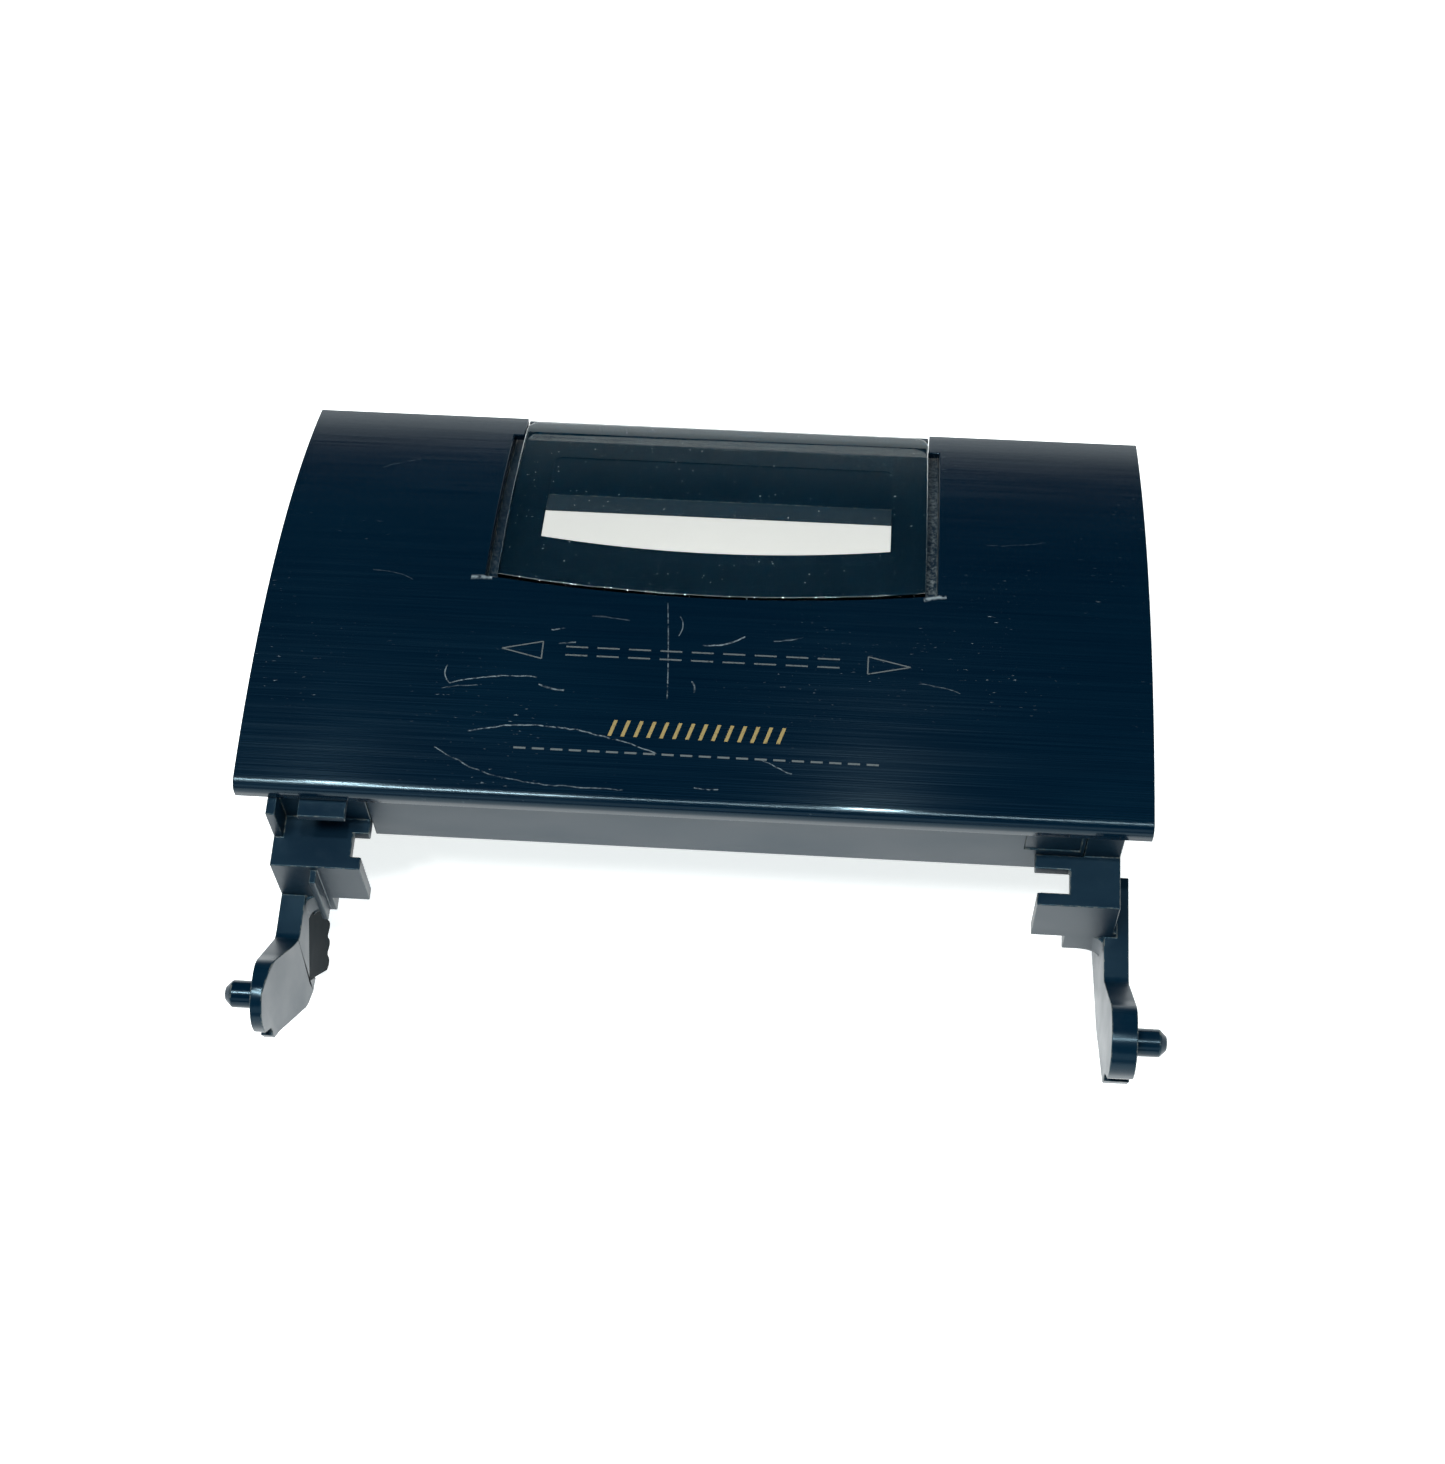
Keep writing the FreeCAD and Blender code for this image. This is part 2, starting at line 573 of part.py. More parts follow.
def gusset(bracket):
    """A web with a round inner corner between the shelf's tongue and the arm."""
    side = bracket["side"]
    low, high = mirrored(bracket, ARM_IN - GUSSET_R, ARM_IN + ARM_T / 4)
    web = block(low, high, SHELF_STEP_REAR - STEP_T / 4, SHELF_STEP_REAR + GUSSET_R,
                STEP_2_Z, STEP_2_Z + STEP_T)
    centre = vec(side * (ARM_IN - GUSSET_R), SHELF_STEP_REAR + GUSSET_R, STEP_2_Z - STEP_T)
    return web.cut(Part.makeCylinder(GUSSET_R, STEP_T * 3, centre, FreeCAD.Vector(0, 1, 0)))


def round_corner(bracket):
    """Material that rounds the inner corner between the shelf's underside and the arm."""
    side = bracket["side"]
    web = side_block(bracket, ARM_IN - CORNER_R, ARM_IN + ARM_T / 4, ARM_FRONT + CORNER_R / 4,
                     SHELF_STEP_REAR, STEP_2_Z - CORNER_R, STEP_2_Z + STEP_T / 4)
    centre = vec(side * (ARM_IN - CORNER_R), SHELF_STEP_REAR + CORNER_R, STEP_2_Z - CORNER_R)
    length = SHELF_STEP_REAR - ARM_FRONT + CORNER_R * 2
    return web.cut(Part.makeCylinder(CORNER_R, length, centre, FreeCAD.Vector(0, 0, 1)))


def side_wall(bracket):
    """The side of the cassette carrier, from the back of the base to the rest plane."""
    out = bracket["out"]
    points = [
        (STEP_1_D, FLOOR_BOTTOM, 0), (ARM_REAR - WALL_FOOT_IN, FLOOR_BOTTOM, 0),
        (REAR_D, WALL_DEEP_LOW, WALL_DEEP_R), (REAR_D, WALL_DEEP_TOP, WALL_DEEP_R),
        (GUIDE_D + GUIDE_T + RAIL_T + RAIL_REAR_ROOM, WALL_REAR_TOP, WALL_RIM_R),
        (CASSETTE_FRONT, WALL_TOP, WALL_RIM_R), (WALL_FRONT_TOP, WALL_TOP, 0),
    ]
    wall = side_profile(bracket, points, out - WALL_T, out)
    guide = side_block(bracket, out - WALL_T - GUIDE_W, out - WALL_T / 2, GUIDE_D,
                       GUIDE_D + GUIDE_T, GUIDE_LOW, RAIL_HIGH)
    cover = face_shell(THROUGH_FRONT, BASE_BACK + SIDE_GAP, THROUGH_FRONT,
                       FACE_LENGTH - THROUGH_FRONT, -ARM_OUT * 2, ARM_OUT * 2)
    return wall.fuse(guide).cut(cover)


def screw_tabs(bracket):
    """Tabs on the side wall that sit on the base's posts."""
    tabs = []
    across = screw_across(bracket)
    wall = bracket["side"] * (bracket["out"] - WALL_T / 2)
    low, high = sorted((across - bracket["side"] * POST_R, wall))
    for arc in (LOW_SCREW_ARC, HIGH_SCREW_ARC):
        tab = face_shell(POST_BACK, TAB_BACK, arc - POST_R, arc + POST_R, low, high)
        tabs.append(tab)
    return tabs


def post_clearance(bracket):
    """Room for the base's posts where they pass close to the side wall."""
    across = screw_across(bracket)
    return [drilled(across, arc, BASE_BACK - 1, POST_BACK, POST_R + SIDE_GAP)
            for arc in (LOW_SCREW_ARC, HIGH_SCREW_ARC)]


def pivot_pin(bracket):
    """A short pin with a chamfered end, rooted in the arm."""
    side = bracket["side"]
    root = ARM_T / 6
    start = vec(side * (ARM_OUT - root), PIN_D, PIN_Z)
    axis = FreeCAD.Vector(side, 0, 0)
    straight = Part.makeCylinder(PIN_R, PIN_LENGTH + root - PIN_CHAMFER, start, axis)
    cone_at = vec(side * (PIN_TIP - PIN_CHAMFER), PIN_D, PIN_Z)
    cone = Part.makeCone(PIN_R, PIN_R - PIN_CHAMFER, PIN_CHAMFER, cone_at, axis)
    return straight.fuse(cone)


def bracket_shape(bracket):
    shape = arm_plate(bracket).fuse([stepped_block(bracket), side_wall(bracket), pivot_pin(bracket)])
    shape = shape.fuse(screw_tabs(bracket))
    for room in post_clearance(bracket):
        shape = shape.cut(room)
    across = screw_across(bracket)
    for arc in (LOW_SCREW_ARC, HIGH_SCREW_ARC):
        hole = drilled(across, arc, POST_BACK - 1, TAB_BACK + 1, SCREW_R + SCREW_HOLE_GAP)
        head_room = drilled(across, arc, TAB_BACK, TAB_BACK + 2, SCREW_HEAD_R + SCREW_PLAY)
        shape = shape.cut(hole).cut(head_room)
    return shape.cut(rail_screw_body(rail_screw_place(bracket), SCREW_R + SCREW_HOLE_GAP))


def arm_taper():
    """What is cut off the left arm's inner face, so that it gets thinner towards its pivot."""
    thin_in = -ARM_IN - LEFT_TAPER
    past = -ARM_IN + ARM_T / 3
    low = ARM_LOW - TAPER_PAST
    points = [(-ARM_IN, TAPER_TOP, 0), (thin_in, TAPER_LOW, 0), (thin_in, low, 0),
              (past, low, 0), (past, TAPER_TOP, 0)]
    return front_prism(points, 0, THROUGH_REAR)


def left_bracket():
    shape = bracket_shape(LEFT).cut(arm_taper())
    return shape.cut(sector_plate(SECTOR_GAP, SECTOR_GAP)).removeSplitter()


def right_bracket():
    return bracket_shape(RIGHT).removeSplitter()


def polar(radius, degrees):
    """Depth and height of a point round the pivot, the angle counted up from straight back."""
    turn = math.radians(degrees)
    return PIN_D + radius * math.cos(turn), PIN_Z + radius * math.sin(turn)


def sector_plate(grow, deeper):
    """The toothed plate; with grow it is the pocket that the plate sits in."""
    root = SECTOR_TIP_R - TOOTH_HEIGHT
    shoulder = SECTOR_TIP_R - TOOTH_HEIGHT / 4
    step = math.degrees(TOOTH_PITCH / (SECTOR_TIP_R - TOOTH_HEIGHT / 2))
    end = SECTOR_START + step * SECTOR_TEETH
    slack = math.degrees(grow / SECTOR_ROOT_R)
    points = [polar(SECTOR_ROOT_R - grow, SECTOR_START - slack)]
    if grow:
        sweep = (end - SECTOR_START + 2 * slack) / SECTOR_TEETH
        points += [polar(SECTOR_TIP_R + 1, SECTOR_START - slack + sweep * i)
                   for i in range(SECTOR_TEETH + 1)]
    else:
        # each worn tooth: its radius at shares of one pitch
        tooth = ((0, root), (0.22, shoulder), (0.36, SECTOR_TIP_R), (0.52, SECTOR_TIP_R),
                 (0.66, shoulder), (0.88, root))
        points += [polar(radius, SECTOR_START + step * (i + share))
                   for i in range(SECTOR_TEETH) for share, radius in tooth]
        points.append(polar(root, end))
    points.append(polar(SECTOR_ROOT_R - grow, end + slack))
    return side_prism([(d, z, 0) for d, z in points], -ARM_IN - SECTOR_T - deeper, -ARM_IN + grow)


def damper_sector():
    return sector_plate(0, 0)


def cassette_spring(side):
    """A bent strip whose tab sits in the slot and whose crest presses on the cassette."""
    crest_d = CASSETTE_FRONT + SPRING_CREST_PAST - SPRING_T / 2
    path = [(SPRING_D, SPRING_ROOT_Z - SPRING_TAB), (SPRING_D, SPRING_BEND_Z),
            (crest_d, SPRING_CREST_Z), (SPRING_TIP_D, SPRING_TIP_Z)]
    front = offset_path(path, -SPRING_T / 2)
    back = offset_path(path, SPRING_T / 2)
    radii = [0, SPRING_BEND_R, SPRING_BEND_R, 0]
    points = [(d, z, r - sign * SPRING_T / 2 if r else 0)
              for (d, z), r, sign in zip(front, radii, (0, 1, -1, 0))]
    points += [(d, z, r + sign * SPRING_T / 2 if r else 0)
               for (d, z), r, sign in zip(reversed(back), radii, (0, -1, 1, 0))]
    middle = side * SPRING_X
    return side_prism(points, middle - SPRING_W / 2, middle + SPRING_W / 2)


def offset_path(path, distance):
    """A line of points moved sideways, with mitred corners; positive is towards the back."""
    moved = []
    for i, (d, z) in enumerate(path):
        normals = []
        for a, b in ((i - 1, i), (i, i + 1)):
            if 0 <= a and b < len(path):
                run_d = path[b][0] - path[a][0]
                run_z = path[b][1] - path[a][1]
                length = math.hypot(run_d, run_z)
                normals.append((run_z / length, -run_d / length))
        n_d = sum(n[0] for n in normals)
        n_z = sum(n[1] for n in normals)
        scale = distance * 2 / (n_d * n_d + n_z * n_z) if len(normals) == 2 else distance
        moved.append((d + n_d * scale, z + n_z * scale))
    return moved


def tape_strip(arc, x0, x1):
    """A strip of double-sided tape between the panel and the base."""
    return face_shell(PANEL_T, BASE_FRONT, arc, arc + TAPE_W, x0, x1)


def tape_strips():
    """Two strips under the print, and one each side of the window."""
    left = BASE_LEFT + TAPE_INSET
    right = BASE_RIGHT - TAPE_INSET
    beside_left = WINDOW_X - POCKET_HALF - TAPE_INSET
    beside_right = WINDOW_X + POCKET_HALF + TAPE_INSET
    return {
        "lower_panel_tape": tape_strip(LOWER_TAPE_ARC, left, right),
        "middle_panel_tape": tape_strip(MIDDLE_TAPE_ARC, left, right),
        "left_panel_tape": tape_strip(UPPER_TAPE_ARC, left, beside_left),
        "right_panel_tape": tape_strip(UPPER_TAPE_ARC, beside_right, right),
    }


def cross_recess(head_top, axis, across_dir):
    """The cross cut in a screw's head."""
    other = axis.cross(across_dir)
    bars = []
    for long_dir, short_dir in ((across_dir, other), (other, across_dir)):
        corner = head_top - long_dir * (CROSS_L / 2) - short_dir * (CROSS_W / 2)
        face = Part.Face(Part.makePolygon([
            corner, corner + long_dir * CROSS_L, corner + long_dir * CROSS_L + short_dir * CROSS_W,
            corner + short_dir * CROSS_W, corner]))
        bars.append(face.extrude(axis * CROSS_DEEP))
    return bars[0].fuse(bars[1])


def screw(seat, axis, length):
    """A pan-head screw; seat is under the head and axis points along the thread."""
    shaft = Part.makeCylinder(SCREW_R, length, seat, axis)
    head = Part.makeCylinder(SCREW_HEAD_R, SCREW_HEAD_T, seat - axis * SCREW_HEAD_T, axis)
    rim = [edge for edge in head.Edges if abs(edge.CenterOfMass.sub(seat).dot(axis)
                                              + SCREW_HEAD_T) < 0.01 and len(edge.Vertexes) == 1]
    head = head.makeFillet(SCREW_HEAD_T * SCREW_EDGE, rim)
    top = seat - axis * SCREW_HEAD_T
    return shaft.fuse(head).cut(cross_recess(top, axis, FreeCAD.Vector(1, 0, 0)))


def bracket_screw(bracket, arc):
    seat = vec(screw_across(bracket), *face_point(arc, TAB_BACK))
    return screw(seat, inward_axis(arc) * -1, TAB_T + SCREW_GRIP - SCREW_END_GAP)


def rail_screw_place(bracket):
    inner = bracket["out"] - WALL_T - SCREW_HEAD_R - RAIL_END_GAP
    return vec(bracket["side"] * inner, GUIDE_D + GUIDE_T + RAIL_T, (RAIL_LOW + RAIL_HIGH) / 2)


def rail_screw_body(seat, radius):
    depth = RAIL_T + GUIDE_T + SCREW_PLAY
    return Part.makeCylinder(radius, depth, seat, FreeCAD.Vector(0, 0, 1))


def rail_screw(bracket):
    return screw(rail_screw_place(bracket), FreeCAD.Vector(0, 0, 1), RAIL_T + GUIDE_T - SCREW_PLAY)


def rear_cross_rail():
    left = -(LEFT["out"] - WALL_T - RAIL_END_GAP)
    right = RIGHT["out"] - WALL_T - RAIL_END_GAP
    front = GUIDE_D + GUIDE_T
    bar = block(left, right, front, front + RAIL_T, RAIL_LOW, RAIL_HIGH)
    stiffener = block(left + STIFFENER_INSET, right - STIFFENER_INSET, front + RAIL_T / 2,
                      front + RAIL_T + STIFFENER_H, RAIL_HIGH - STIFFENER_T, RAIL_HIGH)
    shape = bar.fuse(stiffener)
    for bracket in (LEFT, RIGHT):
        shape = shape.cut(rail_screw_body(rail_screw_place(bracket), SCREW_R + SCREW_HOLE_GAP))
    return shape.removeSplitter()


def ledge_pad(bracket):
    """A felt pad on the shelf under the cassette's lower edge."""
    top = STEP_2_Z + STEP_T
    inner = bracket["out"] - bracket["shelf_w"] + PAD_INSET
    return side_block(bracket, inner, inner + PAD_W, PAD_D - PAD_L, PAD_D, top, top + PAD_T)


def main():
    os.makedirs("parts", exist_ok=True)
    nodes = {
        "front_panel": front_panel(),
        "window_lens": window_lens(),
        "window_mask": window_mask(),
        "door_base": door_base(),
        "left_bracket": left_bracket(),
        "right_bracket": right_bracket(),
        "damper_sector": damper_sector(),
        "rear_cross_rail": rear_cross_rail(),
        "left_cassette_spring": cassette_spring(-1),
        "right_cassette_spring": cassette_spring(1),
    }
    nodes.update(tape_strips())
    for name, bracket in (("left", LEFT), ("right", RIGHT)):
        nodes[name + "_lower_screw"] = bracket_screw(bracket, LOW_SCREW_ARC)
        nodes[name + "_upper_screw"] = bracket_screw(bracket, HIGH_SCREW_ARC)
        nodes[name + "_rail_screw"] = rail_screw(bracket)
        nodes[name + "_ledge_pad"] = ledge_pad(bracket)
    for name, shape in nodes.items():
        box = shape.BoundBox
        print("%-24s solids %d valid %s volume %8.1f  x %6.1f %6.1f  y %6.1f %6.1f  z %6.1f %6.1f"
              % (name, len(shape.Solids), shape.isValid(), shape.Volume, box.XMin, box.XMax,
                 box.YMin, box.YMax, box.ZMin, box.ZMax))
        shape.exportStep("parts/" + name + ".step")


main()
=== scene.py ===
# %% [markdown]
# # A cassette deck door, finished in Blender
# The real object is the front door of a hi-fi cassette deck, taken off and laid on its back.
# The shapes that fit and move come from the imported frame, in metres. This lesson adds what the
# frame cannot hold: soft edges, print, brushed metal, moulded plastic, wear, light and a camera.

# %% Load the frame
import json
import math

import bmesh
import bpy
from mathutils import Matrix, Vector

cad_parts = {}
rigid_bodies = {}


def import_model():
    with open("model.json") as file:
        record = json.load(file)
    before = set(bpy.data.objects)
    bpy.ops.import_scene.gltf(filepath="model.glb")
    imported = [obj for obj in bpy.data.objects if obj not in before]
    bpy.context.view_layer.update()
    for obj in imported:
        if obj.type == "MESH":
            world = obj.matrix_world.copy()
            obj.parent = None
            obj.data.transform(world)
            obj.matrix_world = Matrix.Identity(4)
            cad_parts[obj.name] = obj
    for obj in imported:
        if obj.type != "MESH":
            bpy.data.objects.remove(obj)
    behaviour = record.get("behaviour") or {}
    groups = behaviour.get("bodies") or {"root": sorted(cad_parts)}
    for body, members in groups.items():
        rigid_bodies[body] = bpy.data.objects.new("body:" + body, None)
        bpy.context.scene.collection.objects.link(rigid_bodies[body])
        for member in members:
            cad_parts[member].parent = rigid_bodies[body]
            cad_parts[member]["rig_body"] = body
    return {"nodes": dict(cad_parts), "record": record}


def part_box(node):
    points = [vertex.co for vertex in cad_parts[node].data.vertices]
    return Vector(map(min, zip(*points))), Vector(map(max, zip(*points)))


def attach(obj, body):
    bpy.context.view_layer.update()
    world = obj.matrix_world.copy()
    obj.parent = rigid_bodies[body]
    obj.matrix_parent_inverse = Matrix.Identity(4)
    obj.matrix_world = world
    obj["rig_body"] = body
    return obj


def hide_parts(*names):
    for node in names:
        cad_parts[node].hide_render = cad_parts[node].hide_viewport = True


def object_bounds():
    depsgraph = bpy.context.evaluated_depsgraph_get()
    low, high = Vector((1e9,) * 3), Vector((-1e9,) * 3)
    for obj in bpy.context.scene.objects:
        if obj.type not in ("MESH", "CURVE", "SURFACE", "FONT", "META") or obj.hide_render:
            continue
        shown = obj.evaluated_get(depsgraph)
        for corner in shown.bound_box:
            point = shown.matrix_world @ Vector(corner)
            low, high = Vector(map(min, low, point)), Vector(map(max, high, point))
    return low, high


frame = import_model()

CAD_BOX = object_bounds()
MM = 0.001
NODES = frame["nodes"]
print("nodes", len(NODES), "size in mm", [round(x / MM, 1) for x in CAD_BOX[1] - CAD_BOX[0]])

# %% [markdown]
# ## Where things are
# Every place is worked out from the frame. The two pivot pins give one line across the door, and
# the panel's own mesh gives its curve. A point on the panel is then named by two numbers: how far
# across from the panel's middle, and how far up from the nose. A ray would also find the surface,
# but an arc through three known points is exact and quick.

# %% Measure the pivot line and the panel's arc
MOUNTS = {m["name"]: m for m in frame["record"]["mounts"]}
PIVOT = (Vector(MOUNTS["left_pivot_pin"]["pos_m"]) + Vector(MOUNTS["right_pivot_pin"]["pos_m"])) / 2
PANEL_LOW, PANEL_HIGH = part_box("front_panel")
PANEL_X = (PANEL_LOW.x + PANEL_HIGH.x) / 2


def panel_profile():
    """Three points on the edge of the panel's outer face: its crest, halfway up and the top."""
    points = [v.co for v in NODES["front_panel"].data.vertices if v.co.x < PANEL_LOW.x + 0.01 * MM]
    high = max(points, key=lambda p: p.y)
    crest = max(points, key=lambda p: p.z)
    middle_y = (high.y + crest.y) / 2
    middle = max((p for p in points if abs(p.y - middle_y) < 2.5 * MM), key=lambda p: p.z)
    return crest, middle, high


def circle_through(a, b, c):
    """Centre and radius of the circle through three points in the Y-Z plane."""
    d = 2 * (a.y * (b.z - c.z) + b.y * (c.z - a.z) + c.y * (a.z - b.z))
    sq = [p.y ** 2 + p.z ** 2 for p in (a, b, c)]
    y = (sq[0] * (b.z - c.z) + sq[1] * (c.z - a.z) + sq[2] * (a.z - b.z)) / d
    z = (sq[0] * (c.y - b.y) + sq[1] * (a.y - c.y) + sq[2] * (b.y - a.y)) / d
    return y, z, math.hypot(a.y - y, a.z - z)


ARC_Y, ARC_Z, ARC_R = circle_through(*panel_profile())
NOSE_TURN = math.asin((PANEL_LOW.y - ARC_Y) / ARC_R)


def on_panel(across, up, lift=0.0):
    """A point on the panel's face: across from its middle, up from the nose, lifted off it."""
    turn = NOSE_TURN + up / ARC_R
    radius = ARC_R + lift
    return Vector((PANEL_X + across, ARC_Y + radius * math.sin(turn), ARC_Z + radius * math.cos(turn)))


print("panel radius %.1f mm, pivot height %.1f mm" % (ARC_R / MM, PIVOT.z / MM))

# %% [markdown]
# ## Camera, floor and light
# The viewer stands at the pivot end and looks down on the face. The camera's place is given from
# the middle of the pivot line, because that line is the door's own reference. The floor is pale
# and nearly shadowless, as in a light tent: it glows a little and also takes some light. The
# ceiling stays dark, so the black faces that look up stay black and the faces that look sideways
# pick up the floor, which is what makes black plastic read as a shape.

# %% Camera
EYE_FROM_PIVOT = Vector((17.2, -117.8, 317.1)) * MM
LOOK = Vector((-0.0452, 0.4450, -0.8944))
RIGHT_HAND = Vector((0.9978, 0.0640, -0.0186))
LENS_MM = 67.4
SENSOR_MM = 36.0
NEAR_CLIP = 10 * MM


def placed(name, data):
    """A new object with this data, linked to the scene."""
    made = bpy.data.objects.new(name, data)
    bpy.context.scene.collection.objects.link(made)
    return made


def add_camera():
    """A camera whose right side and line of sight are given directly."""
    camera = placed("camera", bpy.data.cameras.new("camera"))
    back = -LOOK.normalized()
    up = back.cross(RIGHT_HAND).normalized()
    right = up.cross(back)
    turn = camera.matrix_world.to_3x3()
    turn.col[0], turn.col[1], turn.col[2] = right, up, back
    camera.matrix_world = turn.to_4x4()
    camera.location = PIVOT + EYE_FROM_PIVOT
    camera.data.sensor_width = SENSOR_MM
    camera.data.sensor_fit = "HORIZONTAL"
    camera.data.lens = LENS_MM
    camera.data.clip_start = NEAR_CLIP
    bpy.context.scene.camera = camera
    return camera


camera = add_camera()
print("camera", [round(x / MM) for x in camera.location])

# %% [markdown]
# ## Helpers for finishes
# A finish is a small tree of nodes. The helpers below keep each tree short: one adds a node and
# sets its sockets by name, one gives noise in real millimetres, one turns noise into bump.

# %% Helpers for finishes
def plug(tree, value, socket):
    """Link a socket to this one, or set a plain value on it."""
    if isinstance(value, bpy.types.NodeSocket):
        tree.links.new(value, socket)
    else:
        socket.default_value = value


class Finish:
    """A material and the few steps that its node tree is built with."""

    def __init__(self, name, colour, roughness, metallic=0.0, specular=0.5, tint=(1.0, 1.0, 1.0)):
        self.material = bpy.data.materials.new(name)
        self.material.use_nodes = True
        self.tree = self.material.node_tree
        self.shader = self.tree.nodes["Principled BSDF"]
        self.set("Base Color", (*colour, 1.0))
        self.set("Roughness", roughness)
        self.set("Metallic", metallic)
        self.set("Specular IOR Level", specular)
        self.set("Specular Tint", (*tint, 1.0))
        self.place = self.add("TexCoord").outputs["Object"]

    def set(self, socket, value):
        self.shader.inputs[socket].default_value = value

    def feed(self, socket, source):
        self.tree.links.new(source, self.shader.inputs[socket])

    def add(self, kind, links=None, **settings):
        """A new node: settings are its own properties, links are values or sockets by index or name."""
        made = self.tree.nodes.new("ShaderNode" + kind)
        for name, value in settings.items():
            setattr(made, name, value)
        for name, value in (links or {}).items():
            plug(self.tree, value, made.inputs[name])
        return made

    def sum(self, operation, *values):
        """One step of arithmetic on numbers or sockets."""
        return self.add("Math", dict(enumerate(values)), operation=operation).outputs[0]

    def stretched(self, across, up, lift):
        """Object coordinates in features: how many millimetres one feature takes in each direction."""
        scale = (1 / (across * MM), 1 / (up * MM), 1 / (lift * MM))
        return self.add("Mapping", {"Vector": self.place, "Scale": scale}).outputs[0]

    def noise(self, across, up=None, lift=None, detail=3.0, rough=0.5):
        place = self.stretched(across, up or across, lift or up or across)
        made = self.add("TexNoise", {"Vector": place, "Scale": 1.0, "Detail": detail, "Roughness": rough})
        return made.outputs["Fac"]

    def between(self, value, low, high, start=0.0, end=1.0):
        """Value carried from low..high to start..end and held there."""
        links = {"Value": value, "From Min": low, "From Max": high, "To Min": start, "To Max": end}
        return self.add("MapRange", links).outputs[0]

    def mix(self, share, first, second):
        """A colour between two colours."""
        made = self.add("Mix", {0: share}, data_type="RGBA")
        for socket, colour in ((6, first), (7, second)):
            if not isinstance(colour, bpy.types.NodeSocket):
                colour = (*colour, 1.0)
            plug(self.tree, colour, made.inputs[socket])
        return made.outputs[2]

    def bump(self, height, distance, strength=1.0, under=None):
        links = {"Height": height, "Distance": distance * MM, "Strength": strength}
        if under:
            links["Normal"] = under
        return self.add("Bump", links).outputs[0]

    def split(self, vector=None):
        return self.add("SeparateXYZ", {0: vector or self.place}).outputs


print("finish helpers ready")

# %% Floor
FLOOR_SIDE = 3.0
FLOOR_GLOW = 0.78
FLOOR_DROP = 0.05 * MM


def add_floor():
    """A wide pale floor just under the door's rest plane."""
    mesh = bpy.data.meshes.new("floor")
    half = FLOOR_SIDE / 2
    drop = CAD_BOX[0].z - FLOOR_DROP
    corners = [(-half, -half, drop), (half, -half, drop), (half, half, drop), (-half, half, drop)]
    mesh.from_pydata(corners, [], [(0, 1, 2, 3)])
    floor = placed("floor", mesh)
    paper = Finish("floor_paper", (0.86, 0.87, 0.86), 0.6, specular=0.2)
    grain = paper.noise(0.8, detail=4.0)
    paper.feed("Base Color", paper.mix(grain, (0.84, 0.85, 0.84), (0.88, 0.89, 0.88)))
    paper.set("Emission Color", (0.97, 1.0, 0.985, 1.0))
    paper.set("Emission Strength", FLOOR_GLOW)
    mesh.materials.append(paper.material)
    return floor


floor = add_floor()
print("floor at %.2f mm" % (floor.bound_box[0][2] / MM))

# %% Lights
WHITE = (1.0, 1.0, 1.0)
TENT_COLOUR = (0.86, 0.95, 1.0)
CEILING_COLOUR = (0.01, 0.42, 0.90, 1.0)
CEILING_STRENGTH = 0.075
# Each lamp: name, place and size in metres, power in watts, colour.
LAMPS = (
    ("tent_left", (-1.2, 0.1, 0.9), (0.9, 0.9), 6.0, TENT_COLOUR),
    ("tent_right", (1.2, -0.2, 1.0), (0.9, 0.9), 4.5, TENT_COLOUR),
    ("tent_near", (0.0, -1.3, 0.55), (1.4, 0.5), 3.0, TENT_COLOUR),
    ("lamp_left", (-0.190, -0.05, 0.80), (0.050, 0.02), 1.0, WHITE),
    ("lamp_right", (0.03, -0.05, 0.80), (0.010, 0.02), 2.4, WHITE),
    ("strip_left", (-0.190, -0.20, 0.78), (0.26, 0.03), 4.0, WHITE),
    ("strip_right", (0.06, -0.20, 0.78), (0.40, 0.03), 2.6, WHITE),
)


def add_lamp(name, place, size, power, colour):
    """A rectangular area light that looks at the middle of the door."""
    data = bpy.data.lights.new(name, "AREA")
    data.shape = "RECTANGLE"
    data.size, data.size_y = size
    data.energy = power
    data.color = colour
    lamp = placed(name, data)
    lamp.location = place
    lamp.rotation_euler = (-Vector(place)).to_track_quat("-Z", "Y").to_euler()
    return lamp


def add_lights():
    """Soft tent lights, narrow lamps for the glints, and a dark ceiling."""
    for lamp in LAMPS:
        add_lamp(*lamp)
    world = bpy.data.worlds.new("dark_ceiling")
    world.use_nodes = True
    sky = world.node_tree.nodes["Background"]
    sky.inputs["Color"].default_value = CEILING_COLOUR
    sky.inputs["Strength"].default_value = CEILING_STRENGTH
    bpy.context.scene.world = world
    bpy.context.scene.view_settings.view_transform = "Standard"


add_lights()

# %% [markdown]
# ## The brushed and anodised panel
# The front is aluminium sheet, brushed from side to side and dyed black with a blue cast. The dye
# hides the metal, so it is a dark, slightly glossy surface. The brushing does two things: it
# spreads a lamp's reflection up and down the panel, which is what the anisotropic setting is for,
# and it leaves fine lines that show in that glint, which come from long thin noise. Old doors also
# carry scratches. Each is one bowed line with its own ends and width, and a small node group
# works out how near a point is to it.

# %% A node group for one scratch
SCRATCH_SOCKETS = ("x", "y", "start x", "start y", "along x", "along y", "length", "bow", "width")
ARCH_TO_ONE = 4.0
END_FADE = 40.0


